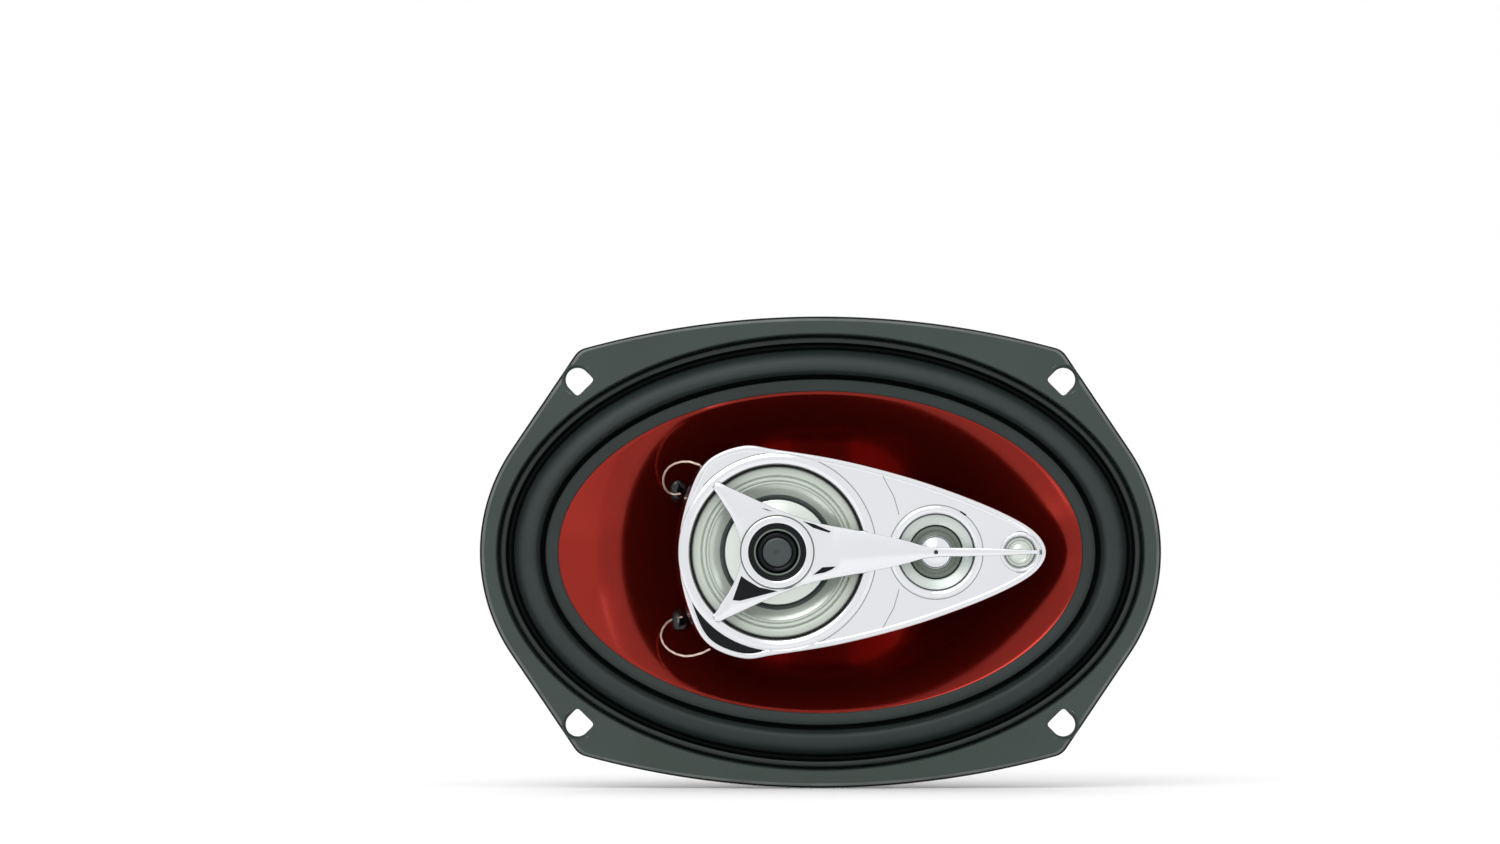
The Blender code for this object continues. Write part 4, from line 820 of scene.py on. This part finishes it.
def make_screw(name, node, at, head, end):
    """A pan-head screw with a cross recess."""
    away = math.copysign(1, head - end)
    profile = [(0, head + away * 1.3), (1.0, head + away * 1.25), (1.9, head + away), (2.4, head + away * 0.55)]
    profile += [(2.5, head), (SCREW_RADIUS, head), (SCREW_RADIUS, end + away * 0.8), (0, end)]
    obj = turned(name, profile, ZINC, [node], at=at, steps=40, soften=0.08)
    low, high = sorted((head + away * 0.5, head + away * 2))
    slots = [line_outline((-1.4, 0), (1.4, 0), 0.5), line_outline((0, -1.4), (0, 1.4), 0.5)]
    cut(obj, [cutter("slot", outline, low, high, at) for outline in slots], 40)


def make_post():
    top, base, bore = TRAY_FLOOR - 0.3, PLATE_Z + 0.9, PLATE_Z + 15.6
    profile = [(0, top), (11, top), (11, top - 2.5), (6.6, top - 3.6), (6, top - 5.5), (6, base + 5)]
    profile += [(10.2, base + 3), (10.2, base), (2.5, base), (2.5, bore), (0, bore)]
    obj = turned("pod_pillar", profile, ZINC, ["pod_post"], steps=96, soften=0.5)
    cut(obj, [cutter("bore", circle_outline(SCREW_BORE, 24), top - 6, top + 1, at) for at in POST_SCREWS], 40)
    for number, at in enumerate(POST_SCREWS, 1):
        make_screw(f"post_fixing_{number}", f"post_screw_{number}", at, TRAY_FLOOR + 1.9, top - 2.2)
    for number, at in enumerate(pillar_places(), 1):
        make_screw(f"pod_fixing_{number}", f"pod_screw_{number}", at, TRAY_FLOOR - 0.3, 7)


def bridge_outline():
    """Three legs round the centre tweeter: two short ones at the left, and a long bar to the super tweeter."""
    tip, turn = MID_OPENING + 1.5, math.radians(132.5)
    x, y = MID_X + tip * math.cos(turn), tip * math.sin(turn)
    upper = [(MID_X - 12.2, 0, 0), (MID_X - 14.6, 9.8, 0), (x - 0.6, y - 1.4, 1), (x + 0.2, y + 0.4, 1)]
    upper += [(x + 1.5, y + 0.5, 1), (MID_X + 8.4, 11.5, 0), (MID_X + MID_OPENING, 7, 0)]
    upper += [(SIDE_X - SIDE_OPENING + 0.9, 4.5, 0), (SIDE_X - 2.6, 2, 0), (SIDE_X + SIDE_OPENING, 1.4, 0)]
    upper += [(SUPER_X - SUPER_OPENING, 1.1, 0), (SUPER_X + SUPER_OPENING + 1.3, 0.6, 1)]
    return smooth_outline(upper + [(x, -y, corner) for x, y, corner in reversed(upper[1:])])


def inset_outline(outline, inset):
    """An outline moved inwards, square to its two sides at each point."""
    points = np.asarray(outline)
    ahead = np.roll(points, -1, axis=0)
    area = np.sum(points[:, 0] * ahead[:, 1] - ahead[:, 0] * points[:, 1])
    sides = []
    for way in (points - np.roll(points, 1, axis=0), ahead - points):
        sides.append(np.stack([-way[:, 1], way[:, 0]], axis=1) / (np.linalg.norm(way, axis=1)[:, None] + 1e-9))
    middle = sides[0] + sides[1]
    middle /= np.maximum(0.6, (middle * sides[0]).sum(axis=1))[:, None]
    return points + np.sign(area) * inset * middle


def plate_rings(outline, low, high, edge):
    """Rings of a plate over an outline, with its front edge rolled over."""
    rows = ((0, low), (0, high - edge), (edge * 0.3, high - edge * 0.3), (edge, high))
    return [row for inset, z in rows for row in flat_rings(inset_outline(outline, inset), [z])]


def bridge_recesses():
    """Outlines of the sunk places beside the collar."""
    triangle = [(-12.5, -7.6), (-15.8, -16.4), (-12.8, -16.7), (-7.3, -15.3), (-2.0, -13.9), (4.5, -12.3)]
    triangle += [(8.0, -10.6), (0, -13.1), (-6.5, -11.6), (-10.4, -9.2)]
    upper_left = [(-7.9, 16.2), (-3.6, 15.2), (0.9, 13.3), (-3.4, 14.3)]
    upper_right = [(8.2, 11.0), (13.0, 9.6), (18.6, 7.0), (17.8, 6.6), (12.4, 8.3)]
    lower_right = [(12.0, -7.8), (15.4, -5.2), (20.1, -4.9), (18.8, -5.9), (16.2, -7.0)]
    return [[(MID_X + x, y) for x, y in outline] for outline in (triangle, upper_left, upper_right, lower_right)]


def make_bridge():
    high = BRIDGE_HIGH
    data = filled("pod_bar", plate_rings(bridge_outline(), BRIDGE_LOW, high, 0.45), 40)
    obj = piece("pod_bar", data, BRIGHT, ["pod_bridge"])
    cuts = [cutter("mouth", circle_outline(12.82, 160), 10, 22, (MID_X, 0))]
    cuts += [cutter("recess", outline, high - 1.4, 22) for outline in bridge_recesses()]
    cuts += [cutter("dot", circle_outline(0.75, 32), high - 1.5, 22, (SIDE_X, 0))]
    cut(obj, cuts, 30, True)
    collar = [(11.8, 12), (12.4, 12), (12.4, high - 0.1), (12.2, high + 0.12), (11.9, high + 0.2)]
    collar += [(10.5, high + 0.16), (10.0, high), (9.9, high - 0.2), (11.8, high - 0.2)]
    at = (MID_X, 0)
    turned("tweeter_collar", collar, BRIGHT, at=at, steps=192, soften=0.1)
    turned("collar_gap", band(12.42, 12.8, 12, high - 0.1), SMOKE, at=at, steps=160, soften=0.03)
    for number, outline in enumerate(bridge_recesses(), 1):
        data = filled("bar_recess", flat_rings(outline, (high - 1.35, high - 0.5)))
        piece(f"bar_recess_{number}", data, GLOSS_BLACK)
    turned("bar_dot", band(0, 0.72, high - 1.4, high - 0.5), BLACK, at=(SIDE_X, 0), steps=32)


def make_crescent():
    """The dark sunk crescent between the midrange's bezel and the pod's rim, at the lower left."""
    points, out = pod_outline()
    inner = points - out * 1.75
    turn = np.degrees(np.arctan2(inner[:, 1], inner[:, 0] - MID_X)) % 360
    wanted = (turn > CRESCENT[0]) & (turn < CRESCENT[1])
    outer = inner[wanted][np.argsort(turn[wanted])]
    spans = np.radians(np.linspace(*CRESCENT[::-1], 40))
    arc = np.stack([MID_X + CRESCENT_RADIUS * np.cos(spans), CRESCENT_RADIUS * np.sin(spans)], axis=1)
    rings = flat_rings(np.concatenate([outer, arc]), (PLATE_FACE - 0.4, PLATE_FACE + 0.06))
    piece("pod_crescent", filled("pod_crescent", rings), GLOSS_BLACK)


# ---- drivers in the pod


def make_midrange():
    at, body = (MID_X, 0), "mid_diaphragm"
    bucket = [(31.8, 14.1), (31.8, 9.0), (17.5, -0.5), (14.1, -0.5), (14.1, 1), (17, 1), (27.4, 8.4), (27.4, 9.7)]
    bucket += [(30.0, 9.7), (30.0, 14.1)]
    turned("mid_bucket", bucket, BLACK, ["mid_frame"], at=at)
    edge = [(29.3, 10.0), (29.3, 11.0), (28.9, 11.3), (27.4, 11.4), (26.6, 11.3), (26.35, 11.0), (26.3, 10.3)]
    edge += [(26.0, 10.3), (25.95, 11.0), (25.6, 11.5), (25.0, 11.5), (24.6, 11.2), (24.55, 10.4), (24.3, 10.4)]
    edge += [(24.25, 10.9), (23.9, 11.0), (23.4, 10.6), (23.4, 9.95), (26.9, 9.95)]
    obj = turned("mid_soft_edge", edge, EDGE, ["mid_surround"], None, at, 160, 0.12)
    bend_with(obj)
    film = [(24.6, 9.8), (22.0, 8.75), (19.6, 7.6), (19.1, 7.15), (18.5, 6.9), (8.3, 5.9), (8.3, 5.3)]
    film += [(18.6, 6.3), (24.6, 9.2)]
    turned("mid_film", film, FILM, ["mid_cone"], body, at, 160, 0.15)
    cap = [(0, 9.25), (4, 9.2), (8, 8.95), (12, 8.45), (15, 7.95), (17, 7.6), (17.9, 7.5), (18.1, 7.3)]
    cap += [(18.1, 6.95), (0, 6.95)]
    turned("mid_cap", cap, CAP, (), body, at, 160, 0.2)
    # A dark raised ring where the cap meets the film: its colour is painted shade of the groove there.
    rim = [(18.15, 6.98), (18.15, 7.4), (18.6, 7.7), (19.3, 7.85), (19.8, 7.85), (19.85, 7.65), (18.7, 6.98)]
    turned("mid_cap_shade_ring", rim, DOME, (), body, at, 160, 0.1)
    turned("mid_winding", band(7.6, 8.3, -1.5, 4.8), COPPER, ["mid_coil"], body, at, 96, 0.1)
    cup = [(0, -5), (13.8, -5), (13.8, 1.6), (8.9, 1.6), (8.9, 0), (12.2, 0), (12.2, -3.4), (0, -3.4)]
    turned("mid_cup", cup, ZINC, ["mid_yoke"], at=at, steps=96, soften=0.4)
    turned("mid_slug", band(0, 6.6, -3.1, -0.3), FERRITE, ["mid_magnet"], at=at, steps=96)
    turned("mid_pole", band(0, 7.1, 0, 1.8), ZINC, ["mid_pole_plate"], at=at, steps=96)


def make_centre_tweeter():
    at, body = (MID_X, 0), "centre_dome"
    back, front = TWEETER_BACK, TWEETER_FRONT
    case = [(0, back), (11.5, back), (11.5, front), (10.2, front), (9.9, front - 0.35), (8.1, front - 0.6)]
    case += [(7.35, front - 0.6), (7.35, front - 1.2), (10.3, front - 1.2), (10.3, back + 1.2), (0, back + 1.2)]
    turned("tweeter_case", case, GLOSS_BLACK, ["centre_tweeter_case"], at=at, steps=160, soften=0.15)
    turned("tweeter_slug", band(0, 9.1, 11.8, 14.2), FERRITE, ["centre_tweeter_magnet"], at=at, steps=64)
    # A lighter grey bead on the black case: its colour is a painted highlight, the ring of light on the case's
    # rounded bead.
    lip = [(7.38, front - 0.58), (7.38, front - 0.3), (7.7, front - 0.1), (8.0, front - 0.3), (8.0, front - 0.58)]
    turned("tweeter_highlight_ring", lip, SMOKE, at=at, soften=0.08)
    dome = [(0, 17.55), (0.55, 17.6), (0.8, 17.95), (1.2, 18.0), (4.2, 17.95), (4.9, 17.7), (5.0, 17.0)]
    dome += [(5.0, 16.3), (0, 16.8)]
    turned("tweeter_dome", dome, DOME, ["centre_tweeter_dome"], body, at, soften=0.12)
    roll = [(5.02, 16.3), (5.02, 16.9), (5.6, 17.1), (6.2, 17.35), (6.7, 17.1), (7.1, 16.6)]
    roll += [(10.0, 15.9), (10.0, 15.5)]
    turned("tweeter_dome_roll", roll, GLOSS_BLACK, (), body, at, soften=0.12)


def make_side_tweeter():
    at, body = (SIDE_X, 0), "side_dome"
    horn = [(14.4, 14.1), (14.4, 6.3), (9.35, 6.3), (9.35, 12.0), (9.7, 12.25), (13.0, 13.75), (13.35, 14.1)]
    turned("side_horn", horn, SILVER, ["side_tweeter_frame"], at=at, steps=160, soften=0.2)
    gap = [(12.8, 13.8), (13.18, 13.98), (13.18, 14.6), (12.8, 14.6)]
    turned("side_horn_gap", gap, DOME, at=at, soften=0.05)
    cap = [(0, 13.0), (2.0, 12.85), (3.6, 12.45), (5.0, 11.75), (5.8, 11.2), (5.8, 10.8), (3.4, 12.0), (0, 12.4)]
    turned("side_dome_cap", cap, BRIGHT, ["side_tweeter_dome"], body, at, 96, 0.1)
    skirt = [(5.8, 10.8), (5.9, 11.25), (6.3, 11.1), (7.0, 11.0), (7.8, 11.55), (8.5, 11.6), (8.9, 11.35)]
    skirt += [(9.0, 10.9), (6.8, 10.5), (6.8, 4.5), (6.2, 4.5), (6.2, 10.6)]
    turned("side_dome_edge", skirt, SMOKE, (), body, at, 96, 0.1)
    motor = [(0, -0.5), (9, -0.5), (9, 5.9), (7.5, 5.9), (7.5, 2.5), (5.6, 2.5), (5.6, 9.3), (0, 9.3)]
    turned("side_slug", motor, FERRITE, ["side_tweeter_motor"], at=at, steps=64)


def make_super_tweeter():
    at = (SUPER_X, 0)
    case = [(0, 4), (6.5, 4), (6.5, 14.1), (5.4, 14.1), (5.4, 5.4), (0, 5.4)]
    turned("super_case", case, SILVER, ["super_tweeter_case"], at=at, steps=96)
    turned("super_element", band(0, 4.6, 5.7, 7.2), FERRITE, ["super_tweeter_piezo"], at=at, steps=64)
    film = [(0, 12.5), (1.4, 12.4), (2.9, 12.0), (3.3, 12.25), (3.8, 12.3), (4.2, 12.05), (5.1, 12.0), (5.1, 11.5)]
    film += [(0, 11.5)]
    turned("super_film", film, CAP, ["super_tweeter_diaphragm"], "super_diaphragm", at, 96, 0.1)


def turned_elsewhere(name, profile, steps, move):
    """A mesh turned from (radius, depth) points, each of its points then moved to (x, y, depth) by move."""
    rings = [[tuple(move(*point)) for point in ring(radius, z, steps)] for radius, z in profile]
    return new_mesh(name, *skin(rings, False))


def make_capacitors():
    x, z = MID_X + MID_OPENING - 5, TRAY_FLOOR + 4.9
    profile = [(0, -6), (2.6, -6), (3, -5.6), (3, -4.6), (2.75, -4.3), (3, -4.0), (3, 5.8), (2.7, 6), (0, 6)]
    profile = rounded(profile, 0.15, 2, False)
    for number, side in enumerate((-1, 1), 1):
        data = turned_elsewhere("can", profile, 48, lambda u, v, along: (x + u, side * 7 + along, z + v))
        piece(f"capacitor_can_{number}", data, BLACK, [f"capacitor_{number}"])


# ---- connector and leads


def arm_frame():
    """Middle of the left arm's back, the direction down the arm, and the direction out of its back."""
    wide = OPENING_A - RIM_INSET - SHELF_RADIUS
    down = Vector((wide, 0, SHELF_Z - RIM_Z)).normalized()
    out = Vector((down.z, 0, -down.x))
    front = Vector((-wall_radius(0, ARM_SHARE), 0, RIM_Z + (SHELF_Z - RIM_Z) * ARM_SHARE))
    return front + out * SHEET, down, out


def on_arm(points, centre, down, out):
    """Points of (down the arm, across it, out of its back) in the speaker's axes."""
    return np.asarray(points, float) @ np.array([down, (0, 1, 0), out]) + np.array(centre)


def rounded_box(along, across, low, high, corner, edge):
    """Rings of a flat box with round corners and a rolled front edge."""
    x, y = along / 2, across / 2
    outline = np.array(rounded([(-x, -y), (x, -y), (x, y), (-x, y)], corner, 6))
    rings = []
    third = edge * 0.3
    for inset, z in ((edge, low), (0, low + edge), (0, high - edge), (third, high - third), (edge, high)):
        rings += flat_rings(outline * (1 - inset / np.array((x, y))), [z])
    return rings


def make_connector():
    arm = arm_frame()
    base = 1.2
    face = base + 1.9
    rings = [on_arm(points, *arm) for points in rounded_box(15, 34, base, base + 1.6, 2.0, 0.3)]
    piece("connector_board", new_mesh("board", *capped(rings), 40), BLACK, ["terminal_board"])
    profile = [(0, 0.9), (0.8, 0.85), (1.6, 0.6), (2.2, 0.1), (2.2, 0), (1.2, 0), (1.2, -6.0), (0, -6.0)]
    for number in (1, 2):
        down, side = node_middle(f"terminal_rivet_{number}", *arm)

        def move(u, v, z):
            return on_arm([(down + u, side + v, face + z)], *arm)[0]

        data = turned_elsewhere("board_rivet", profile, 32, move)
        piece(f"board_rivet_{number}", data, ZINC, [f"terminal_rivet_{number}"])
    make_blade("positive", BLADE_ACROSS, 4.8, face, arm)
    make_blade("negative", -BLADE_ACROSS, 2.8, face, arm)


def node_middle(node, centre, down, _):
    """How far down the arm and across it a node's middle lies."""
    low, high = node_box(node)
    middle = (Vector(low) + Vector(high)) / 2 - Vector(centre)
    return middle.dot(down), middle.y


def make_blade(name, side, width, face, arm):
    """A blade that stands out of the board on a bent foot."""
    profile = [(-5, 0), (0, 0), (0.4, 0.4), (0.4, 9.2), (0.15, 10), (-0.15, 10), (-0.4, 9.2)]
    profile += [(-0.4, 0.8), (-5, 0.8)]
    rings = []
    for inset, y in ((0.15, -width / 2), (0, -width / 2 + 0.15), (0, width / 2 - 0.15), (0.15, width / 2)):
        points = inset_outline(profile, inset)
        rings.append(on_arm([(along, side + y, face + height) for along, height in points], *arm))
    piece(f"blade_{name}", filled("blade", rings, 40), TINNED, [f"terminal_{name}"])


def cone_height(x, y):
    """Depth of the cone's front at a place."""
    low, high = 0.0, 1.0
    for _ in range(40):
        share = (low + high) / 2
        a, b, _ = cone_shape(share)
        if (x / a) ** 2 + (y / b) ** 2 > 1:
            low = share
        else:
            high = share
    return cone_shape(low)[2]


def on_cone(x, y):
    """The place on the cone's front, and the direction out of it."""
    rise_x = (cone_height(x + 1, y) - cone_height(x - 1, y)) / 2
    rise_y = (cone_height(x, y + 1) - cone_height(x, y - 1)) / 2
    return Vector((x, y, cone_height(x, y))), Vector((-rise_x, -rise_y, 1)).normalized()


def make_eyelets():
    profile = [(0, 0.4), (3.1, 0.45), (3.0, 0.9), (2.5, 1.5), (1.7, 2.2), (0.8, 2.6), (0, 2.7)]
    profile = rounded(profile, 0.3, 2, False)
    for number, place_on_cone in enumerate(EYELET_PLACES, 1):
        spot, normal = on_cone(*place_on_cone)
        turn = Vector((0, 0, 1)).rotation_difference(normal)

        def lump(u, v, z):
            angle = math.atan2(v, u)
            wave = 1 + 0.07 * math.sin(3 * angle + number) + 0.04 * math.sin(5 * angle)
            return spot + turn @ Vector((u * wave, v * wave * 1.35, z))

        data = turned_elsewhere("eyelet", profile, 48, lump)
        piece(f"glue_eyelet_{number}", data, GLUE, [f"lead_eyelet_{number}"], "cone")


def smooth_route(route, steps=14):
    points = []
    for k in range(len(route) - 1):
        before = route[k - 1] if k else route[0] * 2 - route[1]
        after = route[k + 2] if k + 2 < len(route) else route[-1] * 2 - route[-2]
        points += [catmull(before, route[k], route[k + 1], after, step / steps) for step in range(steps)]
    return points + [route[-1]]


def wire_rings(points, sides, radius=0.4, strands=3, pitch=3.2):
    """Rings of a twisted lead along its points."""
    rings = []
    travelled = 0.0
    up = Vector((0, 0, 1))
    for k, point in enumerate(points):
        along = (points[min(k + 1, len(points) - 1)] - points[max(k - 1, 0)]).normalized()
        across = along.cross(up).normalized()
        up = across.cross(along).normalized()
        if k:
            travelled += (point - points[k - 1]).length
        around = []
        for side in range(sides):
            turn = side * TAU / sides
            reach = radius * (0.9 + 0.13 * math.cos(strands * turn + travelled / pitch * TAU))
            around.append(tuple(point + (across * math.cos(turn) + up * math.sin(turn)) * reach))
        rings.append(around)
    return rings


def make_lead(name, node, route, start_share, end_share):
    points = smooth_route(route)
    sides = 18
    rings = [[tuple(points[0])], *wire_rings(points, sides), [tuple(points[-1])]]
    obj = piece(name, new_mesh(name, *skin(rings, False)), WIRE, [node], None)
    lengths = np.cumsum([0] + [(b - a).length for a, b in zip(points, points[1:])])
    share = lengths / lengths[-1]
    share = start_share + (end_share - start_share) * share**2 * (3 - 2 * share)
    bend_with(obj)


def make_leads():
    centre, _, out = arm_frame()
    loops = (UPPER_LOOP, LOWER_LOOP)
    for number, (place_on_cone, side, loop) in enumerate(zip(EYELET_PLACES, (1, -1), loops), 1):
        spot, normal = on_cone(*place_on_cone)
        behind = spot - normal * 1.5
        start = centre + out * 0.3 + Vector((0, side * BLADE_ACROSS, 0))
        rear = [start, start - out * 5, start - out * 6 + Vector((8, side * 6, 0))]
        rear += [behind + Vector((-5, side * 3, -9)), behind - normal * 3, behind]
        make_lead(f"tinsel_rear_{number}", f"lead_rear_{number}", rear, 0, 1)
        front = [spot + normal * 3.1, *(Vector(point) for point in loop)]
        make_lead(f"tinsel_front_{number}", f"lead_front_{number}", front, 1, 0)


# ---- camera, floor and light


def make_stage():
    world = bpy.data.worlds.new("studio")
    bpy.context.scene.world = world
    world.use_nodes = True
    set_inputs(world.node_tree.nodes["Background"], Color=(1, 1, 1, 1), Strength=1.0)
    ground = -HALF_HEIGHT - 0.2
    corners = [(-FLOOR, ground, FLOOR), (FLOOR, ground, FLOOR), (FLOOR, ground, -FLOOR), (-FLOOR, ground, -FLOOR)]
    floor = link("floor", new_mesh("floor", corners, [(0, 1, 2, 3)]))
    floor.data.materials.append(floor_paint())


def floor_paint():
    """Pale paint that takes a shadow near the object, and further out is as bright as the studio round it."""
    paint = finish("floor_paint", (0.97, 0.97, 0.97), 0.8, 0, 0.005, 4, 60, 0.0, 0.02)
    tree = paint.node_tree
    where, away = add(tree, "TexCoord"), add(tree, "VectorMath")
    away.operation = "LENGTH"
    fade = add(tree, "MapRange", From_Min=FADE[0], From_Max=FADE[1])
    studio, mix = add(tree, "Emission"), add(tree, "MixShader")
    links = [(where, "Object", away, 0), (away, "Value", fade, "Value"), (fade, "Result", mix, "Fac")]
    links += [(tree.nodes["Principled BSDF"], "BSDF", mix, 1), (studio, "Emission", mix, 2)]
    links += [(mix, "Shader", tree.nodes["Material Output"], "Surface")]
    connect(tree, links)
    return paint


def area_light(name, at, look, size, power):
    light = bpy.data.lights.new(name, "AREA")
    light.shape = "RECTANGLE"
    light.size, light.size_y = size
    light.energy = power
    obj = link(name, light)
    obj.location = at
    obj.rotation_euler = (Vector(look) - Vector(at)).to_track_quat("-Z", "Y").to_euler()


def make_camera():
    camera = bpy.data.cameras.new("camera")
    camera.sensor_width = SENSOR
    camera.lens = SENSOR * CAMERA_DISTANCE / FRAME_WIDTH
    camera.shift_x = -OFF_CENTRE[0] / FRAME_WIDTH
    camera.shift_y = -OFF_CENTRE[1] / FRAME_WIDTH
    camera.clip_end = 20
    obj = link("camera", camera)
    obj.location = (0, -CAMERA_DISTANCE, 0)
    obj.rotation_euler = (math.pi / 2, 0, 0)
    bpy.context.scene.camera = obj


def main():
    make_basket()
    make_rivets()
    make_surround()
    make_cone()
    make_spider()
    make_coil()
    make_motor()
    make_pod_cover()
    make_crescent()
    make_tray()
    make_post()
    make_bridge()
    make_midrange()
    make_centre_tweeter()
    make_side_tweeter()
    make_super_tweeter()
    make_capacitors()
    make_connector()
    make_eyelets()
    make_leads()
    make_stage()
    make_camera()
    area_light("key", (-0.5, -1.6, 1.2), (0, 0, 0), (1.2, 1.2), 12)
    bpy.context.scene.view_settings.view_transform = "Standard"


main()
